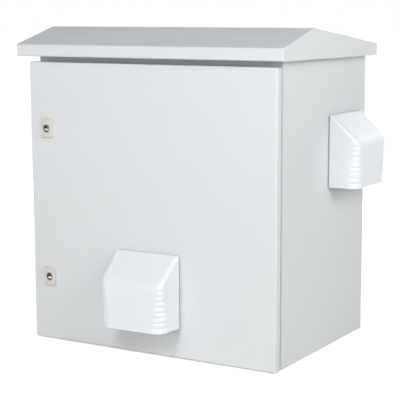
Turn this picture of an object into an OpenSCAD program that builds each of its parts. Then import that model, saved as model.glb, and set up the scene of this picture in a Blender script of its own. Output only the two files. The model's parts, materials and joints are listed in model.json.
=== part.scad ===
// Roadside utility cabinet: a folded steel body with a rain roof, one door with two
// quarter-turn locks, and moulded rain hoods over an air inlet in the door and a fan in the side.
// Millimetres. X points right, Y to the back and Z up. The origin is the centre of the base.

/* [Body] */
// Width of the body
body_w = 593; // [520:1:800]
// Height of the body without the roof
body_h = 630; // [580:5:900]
// Depth of the body without the door
body_d = 394; // [360:2:600]
// Thickness of the steel sheet
sheet_t = 1.5; // [1:0.1:2]
// Outside radius of the folds
bend_r = 3; // [2.2:0.1:4]
// Radius of the welded and ground corners
corner_r = 4; // [2.5:0.1:6]
// Width of the flange round the front opening
flange_w = 20.5; // [19:0.5:26]
// How far the sealing lip stands in front of the flange
lip_h = 21; // [19:0.5:22]
// Depth of the folded edge of the rear panel
rear_fold = 15; // [8:1:25]

/* [Door] */
// Depth of the door pan
door_d = 18; // [17:0.5:24]
// Gap between the door's rear edge and the body
door_gap = 13; // [11:0.5:15]
// How far the door stands past the body's sides
door_over = 3.5; // [0:0.5:6]
// Height of the door's lower edge above the base
door_foot = 1.5; // [1:0.5:10]
// Height of the body's band above the door
head_band = 24; // [18:1:40]
// Width of the foam seal
seal_w = 12; // [8:0.5:14]

/* [Roof] */
// Overhang of the roof past the body's sides
roof_side = 24.5; // [12:0.5:50]
// Overhang of the roof past the door's front
roof_front = 16; // [8:1:50]
// Overhang of the roof past the body's back
roof_back = 6; // [5.5:0.5:50]
// Height of the upright fascias
fascia_h = 25; // [20:1:50]
// How far the fascias reach below the body's top
fascia_drop = 12; // [4:1:16]
// Height of the ridge above the fascias
ridge_rise = 36.5; // [24:0.5:80]
// Distance of the ridge from the roof's front edge
ridge_from_front = 129; // [90:1:220]
// Width of the inward lip under the fascias
roof_lip = 4.5; // [3:0.5:4.5]
// Distance of the two roof ribs from the body's sides
rib_side = 110; // [60:5:180]

/* [Locks] */
// Distance of the locks from the door's left edge
lock_inset = 45; // [42:0.5:60]
// Height of the lower lock above the door's lower edge
lock_low = 139; // [80:1:200]
// Distance of the upper lock below the door's upper edge
lock_high = 141.5; // [80:0.5:200]
// Width of the lock's plate
lock_plate_w = 29; // [26:0.5:34]
// Height of the lock's plate
lock_plate_h = 41; // [32:0.5:60]
// Thickness of the lock's plate
lock_plate_t = 6; // [4:0.5:8]
// Diameter of the lock's threaded barrel
barrel_dia = 20; // [19:0.5:22]
// Diameter of the turning key insert
key_dia = 16; // [14:0.5:16.5]
// Reach of the cam from the lock's axis
cam_reach = 31; // [28:0.5:38]
// Width of the cam
cam_w = 16; // [12:0.5:20]
// Thickness of the cam
cam_t = 3; // [2:0.5:4]

/* [Hinges] */
// Distance of the hinge axis from the door's right edge
hinge_inset = 8; // [7.5:0.1:8.5]
// Distance of the hinge axis behind the door's front
hinge_back = 10; // [9.5:0.1:10.5]
// Distance of the hinges from the door's upper and lower edges
hinge_end = 105; // [60:5:150]
// Length of one hinge knuckle of the body
knuckle_len = 24; // [16:1:40]
// Diameter of the hinge knuckles
knuckle_dia = 10; // [9:0.1:10.5]
// Diameter of the hinge pins
pin_dia = 6; // [4:0.5:6]

/* [Rain hoods] */
// Width of a hood
hood_w = 155; // [152:1:190]
// Height of a hood
hood_h = 152; // [150:1:190]
// How far a hood stands out at its upright face
hood_d = 65; // [55:1:80]
// How far a hood's sides lean in from the wall to its face
hood_draft = 3.2; // [0:0.1:4]
// Height of the upright face up to the break
hood_face_h = 95; // [92:1:110]
// Wall thickness of a hood
hood_wall = 2.5; // [2:0.1:3.5]
// Radius of the break between the upright face and the slope
hood_break_r = 20; // [10:1:24]
// Radius of the front corners at the lower rim
hood_low_r = 25; // [20:1:32]
// Radius of the front corners at the break
hood_high_r = 12; // [8:1:18]
// Radius of the slope's side edges
hood_slope_r = 5; // [3:0.5:8]
// Depth of the slope's upper edge
hood_top_d = 5; // [2.5:0.1:6]
// Number of ribs on each front corner
hood_ribs = 8; // [4:1:8]
// Height of one rib
rib_pitch = 11.25; // [8:0.25:11.25]
// Height of the lowest rib's ledge above the rim
rib_first = 10; // [8:1:14]
// Depth of a rib's ledge
rib_step = 1.5; // [0.6:0.1:1.6]
// Thickness of the seal behind a hood
hood_seal_t = 3.5; // [2:0.5:5]
// Height of the door hood's rim above the base
door_hood_z = 66; // [45:1:120]
// Distance of the side hood's upper edge below the body's top
side_hood_drop = 132; // [60:1:240]
// Distance of the side hood's middle from the body's back
side_hood_back = 109.5; // [95:0.5:160]

/* [Vents] */
// Width of the square vent cut-out
vent_cut = 118.5; // [114:0.5:120]
// Width of a grille's outer flange
grille_w = 128; // [126:0.5:129]
// Thickness of a grille's outer flange
grille_t = 6; // [4:0.5:7]
// Height of a vent's middle above the hood's rim
vent_rise = 72; // [70:0.5:73]
// Depth of a grille's spigot behind the wall
spigot_d = 22; // [18:1:30]
// Wall thickness of the grille
grille_wall = 2; // [1.5:0.1:2.5]
// Number of louvres in a grille
louvres = 7; // [5:1:8]
// Thickness of a filter mat
mat_t = 14; // [8:0.5:14]

/* [Fan] */
// Width of the square fan housing
fan_w = 119; // [116:0.5:120]
// Depth of the fan housing
fan_d = 38; // [32:1:45]
// Diameter of the fan's duct
fan_duct = 113; // [100:1:114]
// Distance between the fan's fixing holes
fan_pitch = 105; // [104:0.5:106]
// Diameter of the rotor's hub
hub_dia = 52; // [40:1:60]
// Number of rotor blades
blades = 7; // [5:1:9]
// Clearance between the blades and the duct
blade_gap = 2; // [1:0.1:4]

/* [Inside] */
// Distance of the mounting plate from the body's sides
plate_side = 55; // [45:1:100]
// Distance of the mounting plate from the body's top and base
plate_end = 45; // [35:1:80]
// Thickness of the mounting plate
plate_t = 2.5; // [2:0.1:4]
// Length of the spacers behind the mounting plate
plate_standoff = 16; // [14:1:30]
// Length of the cable cut-out in the base
gland_l = 380; // [200:5:400]
// Width of the cable cut-out in the base
gland_w = 110; // [60:2:120]
// Distance of the cable cut-out's middle from the body's back
gland_back = 98; // [90:1:110]
// Thickness of the gland plate
gland_t = 2; // [1.5:0.1:3]

/* [Fixings] */
// Diameter of the wall-fixing holes
wall_hole = 10; // [6:0.5:13]
// Distance of the wall-fixing holes from the body's sides
wall_hole_side = 31.5; // [28:0.5:40]
// Distance of the wall-fixing holes from the body's top and base
wall_hole_end = 60; // [40:1:90]
// Diameter of the plinth holes
base_hole = 12; // [8:0.5:14]
// Distance of the plinth holes from the body's sides
base_hole_side = 46.5; // [40:0.5:60]
// Distance of the plinth holes from the body's front and back
base_hole_end = 47; // [40:1:60]

/* [Hidden] */
$fn = 48;

// Room between two faces that meet, and round a screw
seat_gap = 0.3;
weld_gap = 0.1;
run_gap = 0.05;
hole_gap = 0.5;
over = 1;

// Colours
paint = [0.87, 0.88, 0.88];
white_plastic = [0.94, 0.95, 0.96];
beige_plastic = [0.82, 0.81, 0.76];
black_plastic = [0.13, 0.13, 0.14];
zinc = [0.72, 0.73, 0.75];
steel = [0.60, 0.61, 0.63];
foam = [0.30, 0.30, 0.31];
mat_white = [0.85, 0.86, 0.84];

// Main planes
body_y = -body_d / 2;
back_y = body_d / 2;
door_w = body_w + 2 * door_over;
door_front_y = body_y - door_gap - door_d;
door_inner_y = door_front_y + sheet_t;
door_top = body_h - head_band;
door_h = door_top - door_foot;
door_mid_z = door_foot + door_h / 2;
lip_y = body_y - lip_h;
opening_w = body_w - 2 * flange_w;
opening_h = door_h - 2 * flange_w;

// Roof
roof_w = body_w + 2 * roof_side;
roof_front_y = door_front_y - roof_front;
roof_back_y = back_y + roof_back;
roof_d = roof_back_y - roof_front_y;
fascia_z = body_h - fascia_drop;
ridge_y = roof_front_y + ridge_from_front;
ridge_z = fascia_z + fascia_h + ridge_rise;
fold_steps = 5;
roof_corner_r = 2;
rib_x = body_w / 2 - rib_side;
rib_t = 2;
rib_foot = 26;
rib_end = 25;
roof_bolt_dia = 8;
roof_bolt_end = 60;
bolt_past = 10;
hex_w = 13;
bolt_head_t = 5.3;
nut_t = 6.5;

// Locks
lock_x = -door_w / 2 + lock_inset;
lock_low_z = door_foot + lock_low;
lock_high_z = door_top - lock_high;
lock_front_y = door_front_y - lock_plate_t;
cam_gap = 2.5;
cam_y = body_y + sheet_t + cam_gap;
barrel_end_y = cam_y - seat_gap;
plate_bevel = 2.5;
neck_dia = 10;
neck_l = 6;
tang_w = 7;
key_recess = 1.2;
socket_dia = 14;
socket_deep = 9;
bar_h = 4;
bar_low = 3;
bar_recess = 1;
lock_nut_w = 26;
lock_nut_t = 5;
cam_bevel = 3;
cam_screw_dia = 4;
cam_screw_l = 8;
cam_washer_dia = 13;
cam_washer_t = 1.2;
cam_head_w = 8;
cam_head_t = 3.5;

// Hinges
hinge_x = door_w / 2 - hinge_inset;
hinge_y = door_front_y + hinge_back;
hinge_low_z = door_foot + hinge_end;
hinge_high_z = door_top - hinge_end;
leaf_len = 12;
leaf_t = 2.5;
leaf_margin = 1.5;
web_w = 6.6;
bracket_t = 2.5;
pin_head_t = 2;
pin_head_dia = 9;
pin_past = 2;

// Vents and hoods
side_x = body_w / 2;
side_vent_y = back_y - side_hood_back;
side_hood_z = body_h - side_hood_drop - hood_h;
boss_dia = 10;
boss_l = 12;
boss_sink = 0.5;
boss_x = hood_w / 2 - hood_wall - boss_dia / 2 + boss_sink;
boss_low = 12;
boss_high = 128;
hood_screw_dia = 4;
hood_screw_l = 12;
hood_top_r = 2.5;
edge_fade = 14;
last_turn = 88;
least_r = 0.4;
cavity_drop = 0.5;
hood_rim = 1.2;
seal_inset = 1.5;
seal_band = 5;
spigot_w = vent_cut - hole_gap;
spigot_back = sheet_t + spigot_d;
retainer_t = 3;
fan_hole = 4.4;
fan_front = spigot_back + retainer_t;
fan_flange = 5;
fan_corner_r = 6;
duct_wall = 2.5;
strut_w = 7;
shaft_dia = 5;
shaft_in = 6;
motor_t = 6;
rotor_gap = 1.5;
rotor_in = 3;
blade_in = 2;
blade_t = 3.2;
blade_root = 3;
blade_sweep = 26;
blade_share = 0.62;
guard_wire = 1.6;
guard_rings = 5;
guard_eye = 8;
guard_sink = 0.5;
screw_head_t = 2.6;
screw_head_dia = 7.6;
louvre_t = 1.6;
louvre_tilt = 40;
louvre_past = 2;
cross_w = 4;

// Inside
plate_w = body_w - 2 * plate_side;
plate_h = body_h - 2 * plate_end;
plate_front_y = back_y - sheet_t - plate_standoff - plate_t;
plate_edge = 14;
stud_dia = 8;
stud_in = 35;
stud_past = 11;
spacer_wall = 3;
plate_fold = 2;
gland_y = back_y - gland_back;
gland_rim = 20;
gland_seal_t = 3;
gland_screw_dia = 6;

// Unit vector along v
function unit(v) = v / norm(v);

// Inward normal of the side from a to b of an outline that runs anticlockwise
function inward(a, b) = unit([a[1] - b[1], b[0] - a[0]]);

// An anticlockwise outline with every side moved inwards by t
function inset(pts, t) = [
    for (i = [0 : len(pts) - 1])
        let (n = len(pts))
        let (m = inward(pts[(i + n - 1) % n], pts[i]), k = inward(pts[i], pts[(i + 1) % n]))
        pts[i] + (m + k) * t / (1 + m * k)
];

// Arc that rounds the corner at b between the points a and c
function corner_arc(a, b, c, r) =
    let (u = unit(a - b), v = unit(c - b), half = acos(u * v) / 2)
    let (o = b + unit(u + v) * r / sin(half))
    let (p = b + u * r / tan(half) - o, q = b + v * r / tan(half) - o)
    let (from = atan2(p[1], p[0]), turn = atan2(p[0] * q[1] - p[1] * q[0], p * q))
    [for (i = [0 : fold_steps])
        let (now = from + turn * i / fold_steps)
        o + r * [cos(now), sin(now)]];

// An outline with each corner rounded
function rounded(pts, r) = [
    for (i = [0 : len(pts) - 1])
        let (n = len(pts))
        each corner_arc(pts[(i + n - 1) % n], pts[i], pts[(i + 1) % n], r)
];

// Roof section as [y, z] points, anticlockwise seen from the right
roof_line = [
    [roof_front_y, fascia_z],
    [roof_back_y, fascia_z],
    [roof_back_y, fascia_z + fascia_h],
    [ridge_y, ridge_z],
    [roof_front_y, fascia_z + fascia_h]
];

// Hood section: depth at the height z of the outline moved inwards by off
hood_lean = atan2(hood_d - hood_top_d, hood_h - hood_face_h);
function slope_depth(z, off) = hood_top_d + (hood_h - z) * tan(hood_lean) - off / cos(hood_lean);
function break_z(off) = hood_h - (hood_d - off - hood_top_d + off / cos(hood_lean)) / tan(hood_lean);
function break_low(off) = break_z(off) - (hood_break_r - off) * tan(hood_lean / 2);
function break_high(off) = break_z(off) + (hood_break_r - off) * tan(hood_lean / 2) * cos(hood_lean);
function hood_depth(z, off) =
    z <= break_low(off) ? hood_d - off :
    z >= break_high(off) ? slope_depth(z, off) :
    hood_d - hood_break_r + sqrt(pow(hood_break_r - off, 2) - pow(z - break_low(off), 2));

// Radius of the hood's front corners at the height z: less and less up the face, then small along the slope
fade_z = hood_face_h + edge_fade;
function hood_corner(z) =
    z < hood_face_h
        ? hood_low_r + (hood_high_r - hood_low_r) * z / hood_face_h
        : z < fade_z
            ? hood_high_r + (hood_slope_r - hood_high_r) * (z - hood_face_h) / edge_fade
            : hood_slope_r + (hood_top_d - hood_slope_r) * (z - fade_z) / (hood_h - fade_z);

// Half width of the hood at the height z, rounded at the upper corners
function hood_half(z) =
    let (rise = max(0, z - hood_h + hood_top_r))
    hood_w / 2 - hood_top_r + sqrt(pow(hood_top_r, 2) - pow(rise, 2));

// One level of the hood: a closed outline at the height z, moved in by off, with its front
// corners cut by notch and its rear edge at the depth back
corner_steps = 8;
function hood_level(z, off, notch, back) =
    let (half = hood_half(z) - off, d = hood_depth(z, off))
    let (r = max(least_r, min(hood_corner(z) - off, d - least_r)))
    let (face = half - hood_draft * (d - r) / hood_d)
    let (arc = [
        for (i = [0 : corner_steps])
            [90 * i / corner_steps, notch * sqrt(sin(180 * i / corner_steps))]
    ])
    concat(
        [[-half, -back, z]],
        [for (p = arc) [-face + r - (r - p[1]) * cos(p[0]), -(d - r + (r - p[1]) * sin(p[0])), z]],
        [for (i = [corner_steps : -1 : 0])
            let (p = arc[i])
            [face - r + (r - p[1]) * cos(p[0]), -(d - r + (r - p[1]) * sin(p[0])), z]],
        [[half, -back, z]]
    );

// Heights of the ledges, and the levels of the hood's outside with a sawtooth on the corners
ledges = [for (i = [0 : hood_ribs - 1]) rib_first + i * rib_pitch];
ledge_rise = 0.7;
break_steps = 5;
hood_outside = concat(
    [hood_level(0, hood_rim, 0, 0), hood_level(hood_rim, 0, 0, 0)],
    [for (z = ledges) each [
        hood_level(z, 0, 0, 0),
        hood_level(z + ledge_rise, 0, rib_step, 0)
    ]],
    [for (i = [1 : break_steps])
        let (from = max(ledges[hood_ribs - 1] + ledge_rise, break_low(0)))
        hood_level(from + (break_high(0) - from) * i / break_steps, 0, i == 1 ? rib_step / 2 : 0, 0)],
    [hood_level(fade_z, 0, 0, 0)],
    [for (i = [0 : break_steps])
        hood_level(hood_h - hood_top_r * (1 - sin(last_turn * i / break_steps)), 0, 0, 0)]
);
hood_inside = concat(
    [hood_level(-over, hood_wall, 0, -over), hood_level(break_low(hood_wall), hood_wall, 0, -over)],
    [for (i = [1 : break_steps])
        let (from = break_low(hood_wall), to = break_high(hood_wall))
        hood_level(from + (to - from) * i / break_steps, hood_wall, 0, -over)],
    [hood_level(fade_z, hood_wall, 0, -over)],
    [hood_level(hood_h - hood_wall - cavity_drop, hood_wall, 0, -over)]
);

// Solid through a stack of closed levels with the same number of points, lowest first
module loft(levels) {
    n = len(levels[0]);
    top = len(levels) - 1;
    sides = [
        for (i = [0 : top - 1], j = [0 : n - 1])
            let (a = i * n + j, b = i * n + (j + 1) % n)
            each [[a, a + n, b + n], [a, b + n, b]]
    ];
    base = [for (j = [0 : n - 1]) j];
    lid = [for (j = [n - 1 : -1 : 0]) top * n + j];
    polyhedron(points = [for (level = levels) each level], faces = concat(sides, [base, lid]));
}

// Flat rectangle with round corners, centred
module round_rect(size, r) {
    square([size[0] - 2 * r, size[1]], center = true);
    square([size[0], size[1] - 2 * r], center = true);
    for (x = [-1, 1], y = [-1, 1])
        translate([x * (size[0] / 2 - r), y * (size[1] / 2 - r)])
            circle(r);
}

// Upright plate in the XZ plane, its front at y = 0 and its thickness towards the back
module upright(t) {
    translate([0, t, 0])
        rotate([90, 0, 0])
            linear_extrude(t)
                children();
}

// Flat strip of width w and depth d from y = 0 backwards, with its two front corners rounded
module strip(w, d, r) {
    translate([-w / 2, r])
        square([w, d - r]);
    translate([-w / 2 + r, 0])
        square([w - 2 * r, d]);
    for (x = [-1, 1])
        translate([x * (w / 2 - r), r])
            circle(r);
}

// Block with its front edges rounded like folds and its four long edges like welded corners
module folded_block(w, h, d, fold, corner) {
    intersection() {
        upright(d)
            round_rect([w, h], corner);
        translate([0, 0, -h / 2])
            linear_extrude(h)
                strip(w, d, fold);
        rotate([0, 90, 0])
            translate([0, 0, -w / 2])
                linear_extrude(w)
                    strip(h, d, fold);
    }
}

// Round bar along Y from y = 0 backwards
module bar(dia, l) {
    rotate([-90, 0, 0])
        cylinder(d = dia, h = l);
}

// Hexagonal bar along Y, w across the flats
module hex_bar(w, l) {
    rotate([-90, 0, 0])
        cylinder(d = w / cos(30), h = l, $fn = 6);
}

// Places of the parts that repeat
module at_door_vent() {
    translate([0, door_front_y, door_hood_z])
        children();
}

module at_side_vent() {
    translate([side_x, side_vent_y, side_hood_z])
        rotate([0, 0, 90])
            children();
}

module at_hood_bosses() {
    for (x = [-1, 1], z = [boss_low, boss_high])
        translate([x * boss_x, 0, z])
            children();
}

module at_fan_corners() {
    for (x = [-1, 1], z = [-1, 1])
        translate([x * fan_pitch / 2, 0, vent_rise + z * fan_pitch / 2])
            children();
}

module at_plate_studs() {
    for (x = [-1, 1], z = [-1, 1])
        translate([x * (plate_w / 2 - stud_in), 0, body_h / 2 + z * (plate_h / 2 - stud_in)])
            children();
}

module at_gland_screws() {
    for (x = [-1, 0, 1], y = [-1, 1])
        translate([x * (gland_l + gland_rim) / 2, gland_y + y * (gland_w + gland_rim) / 2, 0])
            children();
}

module at_roof_bolts() {
    for (x = [-1, 1], y = [-1, 1])
        translate([x * (rib_x + rib_foot / 2), y * (body_d / 2 - roof_bolt_end), 0])
            children();
}

// Square cut-out and hood screw holes through a wall
module vent_cuts() {
    translate([0, -over, vent_rise])
        upright(sheet_t + 2 * over)
            square(vent_cut, center = true);
    translate([0, -over, 0])
        at_hood_bosses()
            bar(hood_screw_dia + hole_gap, sheet_t + 2 * over);
}

// Body: both sides, top, base and front flange folded from one sheet
module body_wrap() {
    color(paint)
        difference() {
            union() {
                difference() {
                    translate([0, body_y, body_h / 2])
                        folded_block(body_w, body_h, body_d, bend_r, bend_r);
                    translate([0, body_y + sheet_t, body_h / 2])
                        upright(body_d)
                            round_rect([body_w - 2 * sheet_t, body_h - 2 * sheet_t], bend_r - sheet_t);
                }
                translate([0, lip_y, door_mid_z])
                    upright(lip_h + sheet_t)
                        round_rect([opening_w, opening_h], bend_r);
            }
            translate([0, lip_y - over, door_mid_z])
                upright(lip_h + sheet_t + 2 * over)
                    round_rect([opening_w - 2 * sheet_t, opening_h - 2 * sheet_t], bend_r - sheet_t);
            at_side_vent()
                vent_cuts();
            for (x = [-1, 1], y = [-1, 1])
                translate([x * (body_w / 2 - base_hole_side), y * (body_d / 2 - base_hole_end), -over])
                    cylinder(d = base_hole, h = sheet_t + 2 * over);
            translate([0, gland_y, -over])
                linear_extrude(sheet_t + 2 * over)
                    round_rect([gland_l, gland_w], bend_r);
            translate([0, 0, -over])
                at_gland_screws()
                    cylinder(d = gland_screw_dia + 2 * run_gap, h = sheet_t + 2 * over);
            translate([0, 0, body_h - sheet_t - over])
                at_roof_bolts()
                    cylinder(d = roof_bolt_dia + hole_gap, h = sheet_t + 2 * over);
        }
}

// Rear panel: a shallow pan with its folded edges inside the wrap
module rear_panel() {
    w = body_w - 2 * (sheet_t + weld_gap);
    h = body_h - 2 * (sheet_t + weld_gap);
    color(paint)
        difference() {
            translate([0, back_y, body_h / 2])
                rotate([0, 0, 180])
                    folded_block(w, h, rear_fold, bend_r, bend_r);
            translate([0, back_y - rear_fold - over, body_h / 2])
                upright(rear_fold + over - sheet_t)
                    round_rect([w - 2 * sheet_t, h - 2 * sheet_t], bend_r - sheet_t);
            for (x = [-1, 1], z = [wall_hole_end, body_h - wall_hole_end])
                translate([x * (body_w / 2 - wall_hole_side), back_y - sheet_t - over, z])
                    bar(wall_hole, sheet_t + 2 * over);
        }
}

// Section of the roof drawn in the YZ plane and run along X, centred
module roof_run(pts, w) {
    translate([-w / 2, 0, 0])
        rotate([90, 0, 90])
            linear_extrude(w)
                polygon(pts);
}

// Rain roof: gable sheet with upright fascias, closed ends and a narrow lip below
module roof_canopy() {
    cavity = inset(roof_line, sheet_t);
    color(paint)
        difference() {
            intersection() {
                roof_run(rounded(roof_line, bend_r), roof_w);
                translate([0, (roof_front_y + roof_back_y) / 2, fascia_z])
                    linear_extrude(fascia_h + ridge_rise + over)
                        round_rect([roof_w, roof_d], roof_corner_r);
            }
            roof_run(cavity, roof_w - 2 * sheet_t);
            translate([0, (roof_front_y + roof_back_y) / 2, fascia_z - over])
                linear_extrude(2 * over + sheet_t)
                    square([roof_w - 2 * roof_lip, roof_d - 2 * roof_lip], center = true);
        }
}

// Rib under the roof: an upright web cut to the gable, on a foot bolted to the body's top
module roof_rib(side) {
    line = inset(roof_line, sheet_t + weld_gap);
    color(zinc)
        difference() {
            union() {
                intersection() {
                    translate([side * rib_x, 0, 0])
                        roof_run(line, rib_t);
                    translate([0, 0, body_h + ridge_rise])
                        cube([roof_w, body_d - 2 * rib_end, 2 * ridge_rise], center = true);
                }
                translate([side * (rib_x + rib_foot / 2), 0, body_h + rib_t / 2])
                    cube([rib_foot + rib_t, body_d - 2 * rib_end, rib_t], center = true);
            }
            translate([0, 0, body_h - over])
                at_roof_bolts()
                    cylinder(d = roof_bolt_dia + hole_gap, h = rib_t + 2 * over);
        }
}

module roof_bolts() {
    color(steel)
        at_roof_bolts() {
            translate([0, 0, body_h - sheet_t - bolt_head_t])
                cylinder(d = hex_w / cos(30), h = bolt_head_t, $fn = 6);
            translate([0, 0, body_h - sheet_t - over])
                cylinder(d = roof_bolt_dia, h = over + sheet_t + rib_t + bolt_past);
        }
}

module roof_nuts() {
    color(steel)
        translate([0, 0, body_h + rib_t])
            at_roof_bolts()
                difference() {
                    cylinder(d = hex_w / cos(30), h = nut_t, $fn = 6);
                    translate([0, 0, -over])
                        cylinder(d = roof_bolt_dia + 2 * run_gap, h = nut_t + 2 * over);
                }
}

// Blank plate over the cable cut-out, on a foam seal inside the base
module gland_sheet(z, t, cut) {
    translate([0, 0, z])
        difference() {
            translate([0, gland_y, 0])
                linear_extrude(t)
                    difference() {
                        round_rect([gland_l + 2 * gland_rim, gland_w + 2 * gland_rim], bend_r);
                        if (cut)
                            round_rect([gland_l, gland_w], bend_r);
                    }
            translate([0, 0, -over])
                at_gland_screws()
                    cylinder(d = gland_screw_dia + hole_gap, h = t + 2 * over);
        }
}

module gland_seal() {
    color(foam)
        gland_sheet(sheet_t, gland_seal_t, true);
}

module gland_plate() {
    color(zinc)
        gland_sheet(sheet_t + gland_seal_t, gland_t, false);
}

module gland_screws() {
    color(steel)
        at_gland_screws() {
            translate([0, 0, run_gap])
                cylinder(d = gland_screw_dia, h = sheet_t + gland_seal_t + gland_t);
            translate([0, 0, sheet_t + gland_seal_t + gland_t])
                cylinder(d = 2 * gland_screw_dia, h = gland_screw_dia / 2);
        }
}

// Mounting plate with its two long edges folded back
module mounting_plate() {
    color(zinc)
        difference() {
            translate([0, plate_front_y, body_h / 2 - plate_h / 2])
                linear_extrude(plate_h)
                    difference() {
                        strip(plate_w, plate_edge, plate_t + plate_fold);
                        translate([0, plate_t])
                            strip(plate_w - 2 * plate_t, plate_edge, plate_fold);
                    }
            translate([0, plate_front_y - over, 0])
                at_plate_studs()
                    bar(stud_dia + hole_gap, plate_t + 2 * over);
        }
}

module plate_studs() {
    stud_l = plate_standoff + plate_t + stud_past;
    color(steel)
        translate([0, back_y - sheet_t - stud_l, 0])
            at_plate_studs()
                bar(stud_dia, stud_l);
}

module plate_spacers() {
    color(zinc)
        translate([0, back_y - sheet_t - plate_standoff, 0])
            at_plate_studs()
                difference() {
                    bar(stud_dia + 2 * spacer_wall, plate_standoff);
                    translate([0, -over, 0])
                        bar(stud_dia + hole_gap, plate_standoff + 2 * over);
                }
}

module plate_nuts() {
    color(steel)
        translate([0, plate_front_y - nut_t, 0])
            at_plate_studs()
                difference() {
                    hex_bar(hex_w, nut_t);
                    translate([0, -over, 0])
                        bar(stud_dia + 2 * run_gap, nut_t + 2 * over);
                }
}

// Rain hood: sloped top, upright face, ribbed front corners, open below and towards the wall
module hood() {
    color(white_plastic)
        translate([0, -hood_seal_t, 0])
            difference() {
                union() {
                    difference() {
                        loft(hood_outside);
                        loft(hood_inside);
                    }
                    translate([0, -boss_l, 0])
                        at_hood_bosses()
                            bar(boss_dia, boss_l + hood_seal_t);
                }
                translate([0, -boss_l - over, 0])
                    at_hood_bosses()
                        bar(hood_screw_dia + 2 * run_gap, boss_l + hood_seal_t + 2 * over);
            }
}

// Seal behind a hood, along its sides and top
module hood_seal() {
    w = hood_w - 2 * seal_inset;
    h = hood_h - seal_inset;
    color(foam)
        translate([0, -hood_seal_t, 0])
            difference() {
                upright(hood_seal_t)
                    difference() {
                        translate([0, h / 2])
                            square([w, h], center = true);
                        translate([0, (h - seal_band) / 2 - over])
                            square([w - 2 * seal_band, h - seal_band + 2 * over], center = true);
                    }
                translate([0, -over, 0])
                    at_hood_bosses()
                        bar(boss_dia + 2 * seat_gap, hood_seal_t + 2 * over);
            }
}

module hood_screws() {
    color(steel)
        at_hood_bosses() {
            translate([0, sheet_t - hood_screw_l, 0])
                bar(hood_screw_dia, hood_screw_l);
            translate([0, sheet_t, 0])
                bar(screw_head_dia, screw_head_t);
        }
}

// Filter grille: louvred flange outside the wall, spigot through it and a retainer behind the mat
module grille() {
    pitch = (spigot_w - 2 * grille_wall) / louvres;
    window = spigot_w - 2 * grille_wall;
    color(black_plastic)
        translate([0, 0, vent_rise]) {
            translate([0, -grille_t, 0])
                upright(grille_t)
                    difference() {
                        round_rect([grille_w, grille_w], bend_r);
                        square(window, center = true);
                    }
            upright(spigot_back)
                difference() {
                    square(spigot_w, center = true);
                    square(window, center = true);
                }
            translate([0, spigot_back, 0])
                difference() {
                    upright(retainer_t)
                        difference() {
                            square(spigot_w, center = true);
                            circle(d = fan_duct - 2 * retainer_t);
                        }
                    translate([0, -over, -vent_rise])
                        at_fan_corners()
                            bar(hood_screw_dia + 2 * run_gap, retainer_t + 2 * over);
                }
            for (turn = [0, 90])
                translate([0, spigot_back, 0])
                    rotate([0, turn, 0])
                        upright(retainer_t)
                            square([spigot_w, cross_w], center = true);
            intersection() {
                translate([0, -grille_t, 0])
                    upright(grille_t + sheet_t + louvre_past)
                        square(spigot_w, center = true);
                for (i = [0 : louvres - 1])
                    translate([0, (sheet_t + louvre_past - grille_t) / 2, (i + 0.5) * pitch - window / 2])
                        rotate([louvre_tilt, 0, 0])
                            cube([spigot_w, pitch, louvre_t], center = true);
            }
        }
}

module filter_mat() {
    color(mat_white)
        translate([0, spigot_back - mat_t - seat_gap, vent_rise])
            upright(mat_t)
                square(spigot_w - 2 * (grille_wall + seat_gap), center = true);
}

// Fan housing: two square flanges, a round duct, and a motor plate with its shaft on struts
module fan_housing() {
    color(black_plastic)
        translate([0, fan_front, vent_rise]) {
            difference() {
                union() {
                    for (y = [0, fan_d - fan_flange])
                        translate([0, y, 0])
                            upright(fan_flange)
                                round_rect([fan_w, fan_w], fan_corner_r);
                    bar(fan_duct + 2 * duct_wall, fan_d);
                }
                translate([0, -over, 0])
                    bar(fan_duct, fan_d + 2 * over);
                translate([0, -over, -vent_rise])
                    at_fan_corners()
                        bar(fan_hole, fan_d + 2 * over);
            }
            intersection() {
                bar(fan_duct + duct_wall, motor_t);
                union() {
                    bar(hub_dia, motor_t);
                    for (turn = [0, 90])
                        rotate([0, 45 + turn, 0])
                            translate([0, motor_t / 2, 0])
                                cube([fan_duct + 2 * duct_wall, motor_t, strut_w], center = true);
                }
            }
            bar(shaft_dia, fan_d - shaft_in);
        }
}

// Fan rotor: a hub with twisted blades, turning on the housing's shaft
module fan_rotor() {
    blade_r = fan_duct / 2 - blade_gap;
    rotor_y = motor_t + rotor_gap;
    rotor_l = fan_d - rotor_y - rotor_in;
    blade_l = rotor_l - 2 * blade_in;
    twist = blade_share * 360 / blades;
    steps = 4;
    layers = 6;
    color(black_plastic)
        translate([0, fan_front + rotor_y, vent_rise])
            difference() {
                union() {
                    bar(hub_dia, rotor_l);
                    translate([0, blade_in, 0])
                        rotate([-90, 0, 0])
                            for (i = [0 : blades - 1])
                                rotate([0, 0, 360 / blades * i])
                                    linear_extrude(
                                        blade_l, twist = twist, slices = layers, segments = 2 * steps + 2
                                    )
                                        polygon(blade_outline(blade_r, steps));
                }
                translate([0, -over, 0])
                    bar(shaft_dia + 2 * run_gap, rotor_l + 2 * over);
            }
}

// Outline of a swept blade from inside the hub to the tip
function blade_outline(tip, steps) = concat(
    [for (k = [0 : steps]) blade_point(k / steps, tip, -blade_t / 2)],
    [for (k = [steps : -1 : 0]) blade_point(k / steps, tip, blade_t / 2)]
);

// Point on one side of a swept blade, t of the way from the hub to the tip
function blade_point(t, tip, side) =
    let (from = hub_dia / 2 - blade_root, r = from + (tip - from) * t, a = blade_sweep * t)
    [r * cos(a) - side * sin(a), r * sin(a) + side * cos(a)];

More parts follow.
